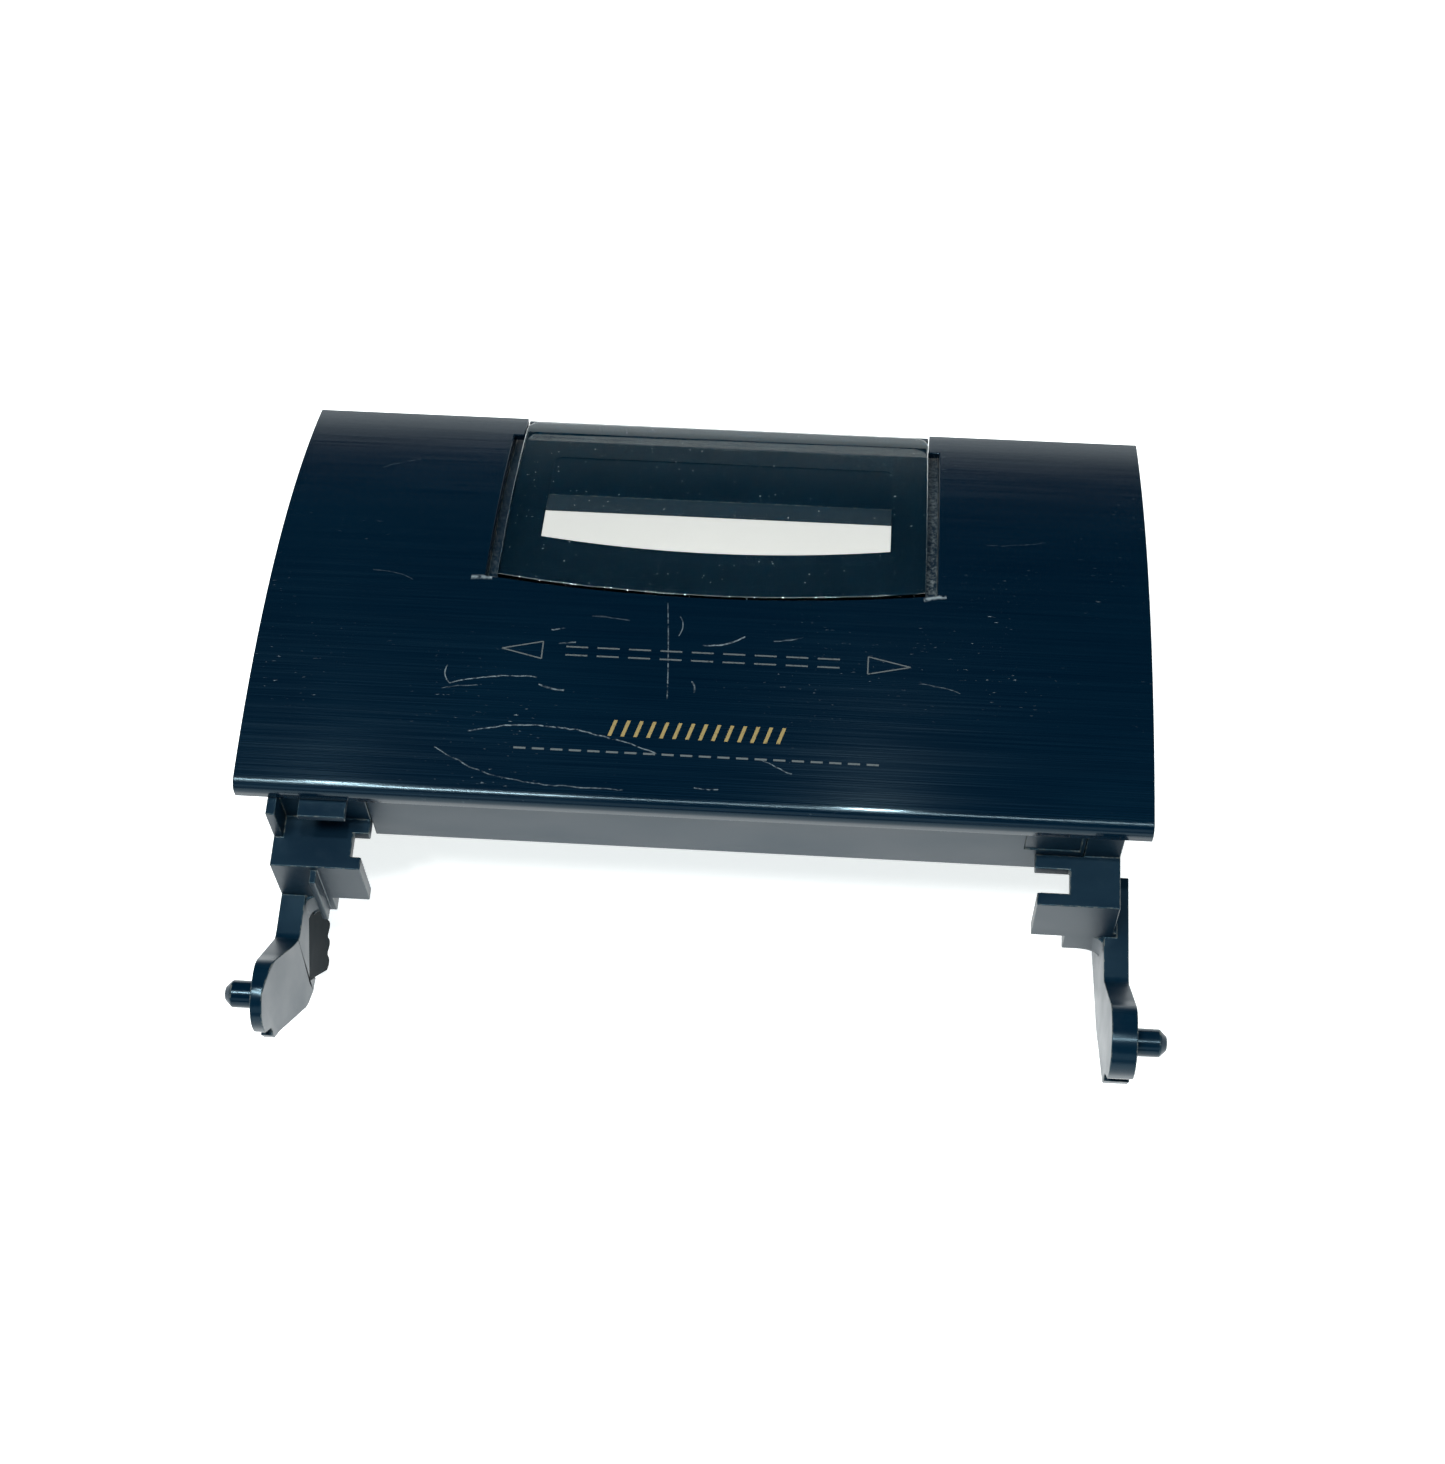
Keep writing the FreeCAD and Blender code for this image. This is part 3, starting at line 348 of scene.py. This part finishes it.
def scratch_group():
    """Mask of a bowed line: 1 on the line, 0 away from it."""
    group = bpy.data.node_groups.new("scratch_line", "ShaderNodeTree")
    for name in SCRATCH_SOCKETS:
        group.interface.new_socket(name=name, in_out="INPUT", socket_type="NodeSocketFloat")
    group.interface.new_socket(name="mask", in_out="OUTPUT", socket_type="NodeSocketFloat")
    given = group.nodes.new("NodeGroupInput").outputs
    result = group.nodes.new("NodeGroupOutput").inputs["mask"]

    def step(operation, *values):
        made = group.nodes.new("ShaderNodeMath")
        made.operation = operation
        for i, value in enumerate(values):
            plug(group, value, made.inputs[i])
        return made.outputs[0]

    dx = step("SUBTRACT", given["x"], given["start x"])
    dy = step("SUBTRACT", given["y"], given["start y"])
    along = step("ADD", step("MULTIPLY", dx, given["along x"]), step("MULTIPLY", dy, given["along y"]))
    across = step("SUBTRACT", step("MULTIPLY", dy, given["along x"]), step("MULTIPLY", dx, given["along y"]))
    share = step("DIVIDE", along, given["length"])
    rest = step("SUBTRACT", 1.0, share)
    arch = step("MULTIPLY", step("MULTIPLY", share, rest), step("MULTIPLY", given["bow"], ARCH_TO_ONE))
    off = step("ABSOLUTE", step("SUBTRACT", across, arch))
    on_line = step("SUBTRACT", 1.0, step("DIVIDE", off, given["width"]))
    ends = step("MULTIPLY", step("MULTIPLY", share, rest), END_FADE)
    group.links.new(step("MULTIPLY", step("MAXIMUM", on_line, 0.0),
                         step("MINIMUM", step("MAXIMUM", ends, 0.0), 1.0)), result)
    return group


SCRATCH = scratch_group()
print("scratch group", len(SCRATCH.nodes), "nodes")

# %% Where the scratches are
# Each one: where it starts and ends (across from the panel's middle, up from the nose), how far it
# bows, and its width, all in millimetres; then how bright it is.
SCRATCHES = (
    ((-5.0, 30.6), (-3.9, 15.3), 0.1, 0.10, 0.55),
    ((-32.2, 19.0), (-31.6, 16.2), -0.5, 0.12, 0.55),
    ((-31.8, 16.2), (-20.6, 17.6), 0.6, 0.11, 0.65),
    ((-20.4, 16.6), (-17.0, 15.9), -0.2, 0.16, 0.55),
    ((-32.6, 15.3), (-28.0, 16.0), 0.2, 0.09, 0.35),
    ((-28.6, 9.4), (-17.4, 10.4), 0.6, 0.12, 0.7),
    ((-17.6, 10.5), (-4.6, 7.4), 0.5, 0.11, 0.6),
    ((-32.6, 6.9), (-20.6, 2.6), -0.7, 0.10, 0.45),
    ((-20.8, 2.7), (-8.4, 2.3), -0.2, 0.10, 0.45),
    ((-19.6, 25.2), (-17.8, 25.6), 0.0, 0.15, 0.5),
    ((-18.6, 22.9), (-16.2, 23.4), 0.1, 0.12, 0.45),
    ((-3.2, 28.4), (-3.2, 25.2), 0.45, 0.10, 0.6),
    ((0.0, 23.9), (5.4, 25.6), -0.5, 0.16, 0.7),
    ((9.0, 25.1), (12.8, 26.0), -0.25, 0.10, 0.4),
    ((8.2, 7.4), (12.4, 5.4), 0.0, 0.10, 0.55),
    ((-1.0, 18.2), (-0.6, 16.4), 0.2, 0.16, 0.4),
    ((0.3, 3.1), (3.4, 2.9), -0.1, 0.10, 0.45),
    ((-14.6, 27.8), (-9.6, 27.4), 0.1, 0.14, 0.22),
    ((27.4, 19.4), (33.0, 18.2), 0.3, 0.09, 0.3),
    ((-44.0, 34.0), (-38.5, 32.6), 0.4, 0.08, 0.2),
    ((36.0, 44.0), (44.0, 45.0), -0.3, 0.08, 0.16),
    ((-46.0, 55.0), (-41.0, 57.5), 0.3, 0.08, 0.2),
    ((-31.0, 33.5), (-28.2, 33.5), 0.1, 0.45, 0.8),
    ((28.0, 33.2), (31.0, 33.9), 0.1, 0.40, 0.8),
)


def scratch_mask(finish, x, y):
    """The brightest of all the scratches at a point."""
    total = None
    for start, end, bow, width, bright in SCRATCHES:
        a, b = on_panel(start[0] * MM, start[1] * MM), on_panel(end[0] * MM, end[1] * MM)
        run = Vector((b.x - a.x, b.y - a.y))
        values = (x, y, a.x, a.y, run.x / run.length, run.y / run.length, run.length, bow * MM, width * MM)
        line = finish.add("Group", node_tree=SCRATCH)
        for name, value in zip(SCRATCH_SOCKETS, values):
            plug(finish.tree, value, line.inputs[name])
        mask = finish.sum("MULTIPLY", line.outputs[0], bright)
        total = mask if total is None else finish.sum("MAXIMUM", total, mask)
    return total


print("scratches", len(SCRATCHES))

# %% Panel finish
DYE_TINT = (0.60, 0.88, 1.0)
BARE_METAL = (0.20, 0.24, 0.25)


def anodised_finish():
    """Dyed and brushed aluminium, with clouds in the dye, scratches and grit marks."""
    f = Finish("anodised_panel", (0.0003, 0.004, 0.009), 0.12, specular=0.26, tint=DYE_TINT)
    fine = f.noise(22, 0.13, 0.13, detail=1.0)
    streak = f.noise(60, 1.4, 1.4, detail=3.0)
    cloud = f.noise(28, detail=3.0)
    dye = f.mix(f.between(fine, 0.3, 0.7), (0.0001, 0.0039, 0.0101), (0.0003, 0.0060, 0.0137))
    dye = f.mix(f.between(cloud, 0.45, 0.75, 0.0, 0.5), dye, (0.0005, 0.0075, 0.0160))
    x, y, _ = f.split()
    wobble = f.noise(2.5, detail=3.0)
    shaky_y = f.sum("ADD", y, f.between(wobble, 0.0, 1.0, -0.35 * MM, 0.35 * MM))
    flecks = f.between(f.noise(0.6, detail=4.0), 0.34, 0.60)
    lines = f.sum("MULTIPLY", scratch_mask(f, x, shaky_y), flecks)
    grit = f.between(f.noise(0.9, 0.25, 0.25, detail=5.0), 0.68, 0.78, 0.0, 0.5)
    patches = f.between(f.noise(16, detail=2.0), 0.52, 0.66)
    scuffs = f.sum("MAXIMUM", lines, f.sum("MULTIPLY", grit, patches))
    f.feed("Base Color", f.mix(scuffs, dye, BARE_METAL))
    smooth = f.sum("ADD", f.between(fine, 0.25, 0.75, 0.09, 0.16), f.between(streak, 0.3, 0.7, -0.01, 0.01))
    f.feed("Roughness", f.sum("MAXIMUM", smooth, f.between(scuffs, 0.0, 0.5, 0.0, 0.55)))
    f.set("Anisotropic", 1.0)
    f.feed("Tangent", f.add("Tangent", direction_type="RADIAL", axis="X").outputs[0])
    brushed = f.bump(fine, 0.004, 0.6)
    f.feed("Normal", f.bump(scuffs, 0.01, 0.5, brushed))
    return f.material


PANEL_FINISH = anodised_finish()
print(PANEL_FINISH.name, len(PANEL_FINISH.node_tree.nodes), "nodes")

# %% [markdown]
# ## Smoked window, its printed border and the foam tape
# The window is clear acrylic with a little smoke in it. Its border is screen printed in black on
# the back, so the clear acrylic lies over flat ink and the two read as one deep black frame. The
# tape is white foam that only its edges show.

# %% Window, print and tape finishes
def acrylic_finish():
    """Clear acrylic with a faint smoke, hazed and specked by handling."""
    f = Finish("smoked_acrylic", (0.98, 0.99, 0.95), 0.02, specular=0.3, tint=DYE_TINT)
    f.set("Transmission Weight", 1.0)
    f.set("IOR", 1.49)
    haze = f.between(f.noise(9, detail=4.0), 0.35, 0.75, 0.01, 0.045)
    specks = f.between(f.noise(0.5, detail=3.0), 0.70, 0.76, 0.0, 0.3)
    f.feed("Roughness", f.sum("ADD", haze, specks))
    f.feed("Base Color", f.mix(f.noise(30, detail=1.0), (0.975, 0.985, 0.95), (1.0, 1.0, 0.97)))
    return f.material


def dusty_edge_finish():
    """The sawn side edges of the window, matt, with dust caught in the slots beside them."""
    sawn = (0.004, 0.020, 0.030)
    f = Finish("dusty_edge", sawn, 0.6, specular=0.3)
    dust = f.noise(0.5, 0.7, 0.7, detail=5.0, rough=0.7)
    clumps = f.noise(0.4, 5.0, 5.0, detail=3.0)
    caught = f.sum("MULTIPLY", f.between(dust, 0.46, 0.66), f.between(clumps, 0.38, 0.60))
    f.feed("Base Color", f.mix(caught, sawn, (0.17, 0.20, 0.20)))
    f.feed("Roughness", f.between(caught, 0.0, 1.0, 0.45, 0.9))
    f.feed("Normal", f.bump(dust, 0.03, 0.8))
    return f.material


def ink_finish(name, colour, roughness=0.45):
    """Screen-printed ink: flat, a little uneven, with pinholes."""
    f = Finish(name, colour, roughness, specular=0.3, tint=DYE_TINT)
    worn = f.between(f.noise(0.35, detail=4.0), 0.30, 0.42)
    f.feed("Base Color", f.mix(worn, tuple(c * 0.45 for c in colour), colour))
    f.feed("Roughness", f.between(worn, 0.0, 1.0, roughness + 0.15, roughness))
    f.feed("Normal", f.bump(worn, 0.003, 0.4))
    return f.material


def foam_finish():
    """White closed-cell foam."""
    f = Finish("tape_foam", (0.72, 0.72, 0.68), 0.9, specular=0.2)
    cells = f.add("TexVoronoi", {"Vector": f.stretched(0.12, 0.12, 0.12), "Scale": 1.0}).outputs[0]
    f.feed("Base Color", f.mix(cells, (0.60, 0.60, 0.56), (0.78, 0.78, 0.74)))
    f.feed("Normal", f.bump(cells, 0.02, 0.6))
    return f.material


ACRYLIC = acrylic_finish()
DUSTY_EDGE = dusty_edge_finish()
BLACK_INK = ink_finish("black_print", (0.0008, 0.0085, 0.0170))
GREY_INK = ink_finish("grey_print", (0.070, 0.080, 0.080))
GOLD_INK = ink_finish("gold_print", (0.200, 0.150, 0.055))
FOAM = foam_finish()
print([m.name for m in (ACRYLIC, DUSTY_EDGE, BLACK_INK, GREY_INK, GOLD_INK, FOAM)])

# %% [markdown]
# ## Moulded black plastic
# The carrier parts are black ABS from a textured mould. Three things make it look moulded: a fine
# spark-eroded grain, broad flow marks that change the gloss, and wear. Edges rub first, so the
# rounded edges get a finish of their own, with pale chips. A curvature node could find the edges,
# but on big flat faces it spreads over the whole face. The sloping front of each arm, between its bend
# and its pivot, is painted a warm grey as a painted reflection of the pale floor, picked by which way
# the face points. The round boss and the pin are polished by turning.

# %% Plastic finishes
# Depth span of the arms' sloping fronts that get a painted reflection of the floor.
REFLECTION_TOP = PIVOT.y + 10.2 * MM
REFLECTION_LOW = PIVOT.y + 2.0 * MM
POLISHED_R = 5.2 * MM
WINDOW_LOW, WINDOW_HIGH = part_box("window_lens")
WINDOW_MIDDLE = (WINDOW_LOW.x + WINDOW_HIGH.x) / 2
WINDOW_HALF = (WINDOW_HIGH.x - WINDOW_LOW.x) / 2
PLASTIC_TINT = (0.55, 0.85, 1.0)
DUST_FILM = (0.018, 0.030, 0.038)
# Warm grey for chipped edges, which is wear, and for the painted floor reflection on the arms' fronts.
WEAR_AND_REFLECTION_GREY = (0.125, 0.128, 0.108)
SLOT_DUST = (0.16, 0.19, 0.19)


def painted_floor_reflection(f):
    """Where the arms' sloping front faces get a painted reflection of the pale floor."""
    _, y, _ = f.split()
    _, slope, front = f.split(f.add("TexCoord").outputs["Normal"])
    face = f.sum("MULTIPLY", f.between(slope, -0.2, -0.4), f.between(front, 0.25, 0.5))
    span = f.sum("MULTIPLY", f.between(y, REFLECTION_TOP, REFLECTION_TOP - 0.6 * MM),
                 f.between(y, REFLECTION_LOW, REFLECTION_LOW + 3.0 * MM))
    fibres = f.between(f.noise(1.4, 0.4, 0.6, detail=5.0, rough=0.6), 0.25, 0.7, 0.35, 1.0)
    return f.sum("MULTIPLY", f.sum("MULTIPLY", face, span), fibres)


def polished_round_pivot(f):
    """1 within a few millimetres of the pivot line, 0 away from it."""
    _, y, z = f.split()
    dy = f.sum("SUBTRACT", y, PIVOT.y)
    dz = f.sum("SUBTRACT", z, PIVOT.z)
    away = f.sum("SQRT", f.sum("ADD", f.sum("MULTIPLY", dy, dy), f.sum("MULTIPLY", dz, dz)))
    side = f.sum("ABSOLUTE", f.split(f.add("TexCoord").outputs["Normal"])[0])
    near = f.between(away, POLISHED_R, POLISHED_R - 0.5 * MM)
    return f.sum("MULTIPLY", near, f.between(side, 0.8, 0.5))


def slot_dust(f):
    """Dust on the base where the open slots beside the window show it, thicker on the right."""
    x, y, _ = f.split()
    off = f.sum("SUBTRACT", x, WINDOW_MIDDLE)
    out = f.sum("ABSOLUTE", off)
    strip = f.sum("MULTIPLY", f.between(out, WINDOW_HALF, WINDOW_HALF + 0.2 * MM),
                  f.between(out, WINDOW_HALF + 1.8 * MM, WINDOW_HALF + 1.3 * MM))
    thick = f.between(off, -WINDOW_HALF, WINDOW_HALF, 0.35, 1.0)
    grains = f.between(f.noise(0.45, detail=5.0, rough=0.7), 0.44, 0.64)
    low = f.between(y, WINDOW_LOW.y + 9.0 * MM, WINDOW_LOW.y, 0.45, 1.0)
    above = f.sum("GREATER_THAN", y, WINDOW_LOW.y)
    place = f.sum("MULTIPLY", f.sum("MULTIPLY", strip, low), above)
    return f.sum("MULTIPLY", place, f.sum("MULTIPLY", thick, grains))


def moulded_finish(name, dark, light, roughness, specular=0.22, worn=0.0):
    """Moulded plastic between two colours; worn says how much of an edge is chipped."""
    f = Finish(name, dark, roughness, specular=specular, tint=PLASTIC_TINT)
    grain = f.noise(0.22, detail=2.0, rough=0.6)
    flow = f.noise(14, 6, 9, detail=3.0)
    colour = f.mix(f.between(flow, 0.35, 0.7), dark, light)
    dust = f.between(f.noise(4.5, detail=6.0, rough=0.6), 0.56, 0.82, 0.0, 0.22)
    colour = f.mix(dust, colour, DUST_FILM)
    gloss = f.between(flow, 0.3, 0.7, roughness - 0.04, roughness + 0.05)
    chips = f.between(f.noise(0.8, detail=5.0), 0.48, 0.62, 0.0, worn)
    # rub holds pale chips on edges, which are wear, and the painted floor reflection on the arms' sloping
    # fronts.
    rub = f.sum("MAXIMUM", painted_floor_reflection(f), chips)
    colour = f.mix(rub, colour, WEAR_AND_REFLECTION_GREY)
    colour = f.mix(slot_dust(f), colour, SLOT_DUST)
    gloss = f.sum("ADD", gloss, f.sum("MULTIPLY", rub, 0.2))
    gloss = f.sum("SUBTRACT", gloss, f.sum("MULTIPLY", polished_round_pivot(f), 0.17))
    f.feed("Base Color", colour)
    f.feed("Roughness", gloss)
    f.feed("Normal", f.bump(grain, 0.0025, 0.5))
    return f.material


ABS_DARK, ABS_LIGHT = (0.0004, 0.0060, 0.0140), (0.0012, 0.0095, 0.0190)
ABS = moulded_finish("black_abs", ABS_DARK, ABS_LIGHT, 0.36)
WORN_EDGE = moulded_finish("worn_abs_edge", (0.004, 0.014, 0.022), (0.010, 0.024, 0.032), 0.34, worn=0.45)
ACETAL = moulded_finish("black_acetal", (0.0010, 0.0045, 0.0075), (0.0022, 0.0070, 0.0100), 0.6, 0.02)
print([(m.name, len(m.node_tree.nodes)) for m in (ABS, WORN_EDGE, ACETAL)])

# %% [markdown]
# ## Steel, zinc and felt
# Small parts need their own finish too. Spring strip is rolled, so its grain runs along the strip.
# Screws are zinc plated and passivated, which gives a faint yellow bloom. The pads are felt: short
# matted fibres with a soft sheen.

# %% Metal and felt finishes
def spring_finish():
    """Rolled steel strip, a little stained."""
    f = Finish("spring_steel", (0.55, 0.55, 0.53), 0.3, metallic=1.0)
    rolled = f.noise(0.06, 14, 14, detail=3.0)
    stain = f.noise(4, detail=4.0)
    f.feed("Base Color", f.mix(f.between(stain, 0.5, 0.75), (0.58, 0.58, 0.56), (0.40, 0.36, 0.30)))
    f.feed("Roughness", f.between(rolled, 0.3, 0.7, 0.20, 0.38))
    f.feed("Normal", f.bump(rolled, 0.003, 0.5))
    return f.material


def zinc_finish():
    """Passivated zinc, with a crystal pattern and a faint bloom."""
    f = Finish("zinc_screw", (0.60, 0.58, 0.50), 0.35, metallic=1.0)
    bloom = f.noise(1.1, detail=5.0)
    colour = f.mix(bloom, (0.66, 0.62, 0.48), (0.52, 0.55, 0.56))
    cells = f.add("TexVoronoi", {"Vector": f.stretched(0.25, 0.25, 0.25), "Scale": 1.0}).outputs[0]
    f.feed("Base Color", f.mix(f.between(cells, 0.0, 0.5, 0.0, 0.25), colour, (0.36, 0.36, 0.34)))
    f.feed("Roughness", f.between(cells, 0.0, 0.6, 0.26, 0.46))
    f.feed("Normal", f.bump(bloom, 0.004, 0.4))
    return f.material


def felt_finish():
    """Matted dark fibres."""
    f = Finish("felt", (0.020, 0.021, 0.023), 1.0, specular=0.1)
    fibre = f.noise(0.5, 0.05, 0.07, detail=5.0, rough=0.7)
    other = f.noise(0.06, 0.5, 0.08, detail=5.0, rough=0.7)
    mat = f.sum("MAXIMUM", fibre, other)
    f.feed("Base Color", f.mix(f.between(mat, 0.4, 0.75), (0.012, 0.013, 0.015), (0.055, 0.057, 0.060)))
    f.set("Sheen Weight", 0.5)
    f.feed("Normal", f.bump(mat, 0.06, 1.0))
    return f.material


FINISHES = {
    "anodised_panel": PANEL_FINISH, "smoked_acrylic": ACRYLIC, "black_print": BLACK_INK,
    "tape_foam": FOAM, "black_abs": ABS, "black_acetal": ACETAL, "spring_steel": spring_finish(),
    "zinc_screw": zinc_finish(), "felt": felt_finish(),
}
SLOT_OF = {part["node"]: part["material_slot"] for part in frame["record"]["subparts"]}
for name, cad_object in NODES.items():
    for i in range(len(cad_object.material_slots)):
        cad_object.material_slots[i].material = FINISHES[SLOT_OF[name]]
print("finished", len(NODES), "nodes with", len(FINISHES), "finishes")

# %% [markdown]
# ## Soft edges
# A mould and a press never leave a knife edge, and it is the thin bright line along an edge that
# tells the eye how big a part is. The frame's meshes are sharp, so each visible part is copied,
# its flat faces are joined up again, and its sharp edges are rounded by a real bevel. A bevel node
# in the finish would be quicker, but then the mesh itself would stay sharp. The copy is shown in
# place of the frame's node, which is hidden. The copy replaces the frame's node, which still does
# the collision work.

# %% Round the edges of a part
SHARP_FROM = math.radians(28.0)
SMOOTH_BELOW = math.radians(40.0)
FLAT_WITHIN = math.radians(0.3)
WELD_BEFORE = 0.001 * MM
WELD_AFTER = 0.002 * MM
BEVEL_STEPS = 2


def soft_copy(node, name, width, edge_finish=None):
    """A copy of a frame node with rounded edges, which stands for it."""
    mesh = NODES[node].data.copy()
    mesh.name = name
    bm = bmesh.new()
    bm.from_mesh(mesh)
    bmesh.ops.remove_doubles(bm, verts=bm.verts, dist=WELD_BEFORE)
    bmesh.ops.dissolve_limit(bm, angle_limit=FLAT_WITHIN, verts=bm.verts, edges=bm.edges)
    edges = [e for e in bm.edges if len(e.link_faces) == 2 and e.calc_face_angle(0.0) > SHARP_FROM]
    bmesh.ops.bevel(bm, geom=edges, offset=width, offset_type="OFFSET", segments=BEVEL_STEPS,
                    profile=0.5, affect="EDGES", clamp_overlap=False,
                    material=1 if edge_finish else -1)
    bmesh.ops.remove_doubles(bm, verts=bm.verts, dist=WELD_AFTER)
    bmesh.ops.triangulate(bm, faces=[f for f in bm.faces if len(f.verts) > 4])
    for face in bm.faces:
        face.smooth = True
    bm.to_mesh(mesh)
    bm.free()
    if edge_finish:
        mesh.materials.append(edge_finish)
    mesh.set_sharp_from_angle(angle=SMOOTH_BELOW)
    copy = placed(name, mesh)
    even = copy.modifiers.new("even_shading", "WEIGHTED_NORMAL")
    even.keep_sharp = True
    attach(copy, NODES[node]["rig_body"])
    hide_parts(node)
    print("%-22s %5d faces, %4d edges rounded" % (name, len(mesh.polygons), len(edges)))
    return copy


SOFT_PARTS = (
    ("front_panel", "brushed_panel", 0.15 * MM, None),
    ("window_lens", "smoked_window", 0.22 * MM, None),
    ("door_base", "base_moulding", 0.10 * MM, WORN_EDGE),
    ("left_bracket", "left_bracket_moulding", 0.13 * MM, WORN_EDGE),
    ("right_bracket", "right_bracket_moulding", 0.13 * MM, WORN_EDGE),
    ("rear_cross_rail", "rail_moulding", 0.15 * MM, WORN_EDGE),
    ("damper_sector", "sector_moulding", 0.08 * MM, None),
)
SOFT = {part[0]: soft_copy(*part) for part in SOFT_PARTS}

# %% [markdown]
# ## The printed border
# The border is a film on the back of the window, so the two share a surface. Where two surfaces
# lie in exactly the same place, whichever is nearer changes from facet to facet and bars show. The
# film's copy is moved straight down by a gap too small to see. Making the film thinner in the
# frame would not help, because it is the shared face that shows.

# %% Set the printed border back from the window
FILM_SETBACK = 0.05 * MM
border_mesh = NODES["window_mask"].data.copy()
border_mesh.name = "window_border"
for vertex in border_mesh.vertices:
    vertex.co.z -= FILM_SETBACK
window_border = placed("window_border", border_mesh)
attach(window_border, NODES["window_mask"]["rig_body"])
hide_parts("window_mask")
print("window border set back", round(FILM_SETBACK / MM, 3), "mm")

# %% [markdown]
# ## The window's rim
# The window's side edges are sawn and stand beside open slots, so they are matt and dusty. Its top
# edge is inked like the border. Both are picked by which way a face points.

# %% Finish the window's rim
EDGE_SIDEWAYS = 0.6
EDGE_UPWARDS = 0.75


def finish_rim(lens, sides, top):
    """Side edges of the window get one finish and its top edge another."""
    mesh = lens.data
    mesh.materials.append(sides)
    mesh.materials.append(top)
    for face in mesh.polygons:
        if abs(face.normal.x) > EDGE_SIDEWAYS:
            face.material_index = 1
        elif face.normal.y > EDGE_UPWARDS:
            face.material_index = 2
    return [sum(f.material_index == i for f in mesh.polygons) for i in range(3)]


print("window faces: clear, dusty, inked", finish_rim(SOFT["window_lens"], DUSTY_EDGE, BLACK_INK))

# %% [markdown]
# ## Printed marks
# The panel carries two outline triangles that show which way the tape runs, a double row of pale
# dashes between them, and a row of slanted gold ticks over a row of finer dashes. They are ink, so
# each is made as a real film two hundredths of a millimetre thick that follows the panel's curve.
# Painting them in the finish would also work, but a film has true edges at any distance.

# %% Ink films on the panel
INK_T = 0.02 * MM
PRINT_LIFT = 0.004 * MM


def film(name, outlines, finish):
    """Closed thin solids from outlines on the panel, each a list of (across, up) in millimetres."""
    bm = bmesh.new()
    for outline in outlines:
        rings = []
        for lift in (PRINT_LIFT, PRINT_LIFT + INK_T):
            rings.append([bm.verts.new(on_panel(x * MM, s * MM, lift)) for x, s in outline])
        low, high = rings
        bm.faces.new(low)
        bm.faces.new(list(reversed(high)))
        for i in range(len(low)):
            j = (i + 1) % len(low)
            bm.faces.new((low[j], low[i], high[i], high[j]))
    bmesh.ops.recalc_face_normals(bm, faces=bm.faces)
    mesh = bpy.data.meshes.new(name)
    bm.to_mesh(mesh)
    bm.free()
    mesh.materials.append(finish)
    piece = placed(name, mesh)
    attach(piece, "door")
    return piece


def stroke(a, b, width):
    """A straight stroke with square ends between two points."""
    dx, dy = b[0] - a[0], b[1] - a[1]
    length = math.hypot(dx, dy)
    nx, ny = -dy / length * width / 2, dx / length * width / 2
    return [(a[0] + nx, a[1] + ny), (a[0] - nx, a[1] - ny), (b[0] - nx, b[1] - ny), (b[0] + nx, b[1] + ny)]


def triangle_outline(tip_x, base_x, up, half, width):
    """The three strokes of an outline triangle that points along the panel."""
    tip, high, low = (tip_x, up), (base_x, up + half), (base_x, up - half)
    return [stroke(a, b, width) for a, b in ((tip, high), (high, low), (low, tip))]


def dash_row(start, end, up, height, count, gap_share, slant=0.0):
    """Even dashes in a row, each a parallelogram."""
    pitch = (end - start) / count
    length = pitch * (1 - gap_share)
    top = up + height
    dashes = []
    for i in range(count):
        x = start + pitch * i
        dashes.append([(x, up), (x + length, up), (x + length + slant, top), (x + slant, top)])
    return dashes


LINE = 0.17
MARK_UP = 21.9
MARK_HALF = 1.35
film("left_direction_mark", triangle_outline(-25.6, -20.4, MARK_UP, MARK_HALF, LINE), GREY_INK)
film("right_direction_mark", triangle_outline(26.6, 21.2, MARK_UP, MARK_HALF, LINE), GREY_INK)
film("upper_dash_row", dash_row(-17.4, 18.8, 21.2, 0.22, 9, 0.3)
     + dash_row(-17.4, 18.8, 22.5, 0.22, 9, 0.3), GREY_INK)
film("gold_tick_row", dash_row(-11.0, 11.8, 9.6, 2.3, 14, 0.72, slant=0.7), GOLD_INK)
film("lower_dash_row", dash_row(-22.6, 23.9, 7.2, 0.26, 20, 0.35), GREY_INK)
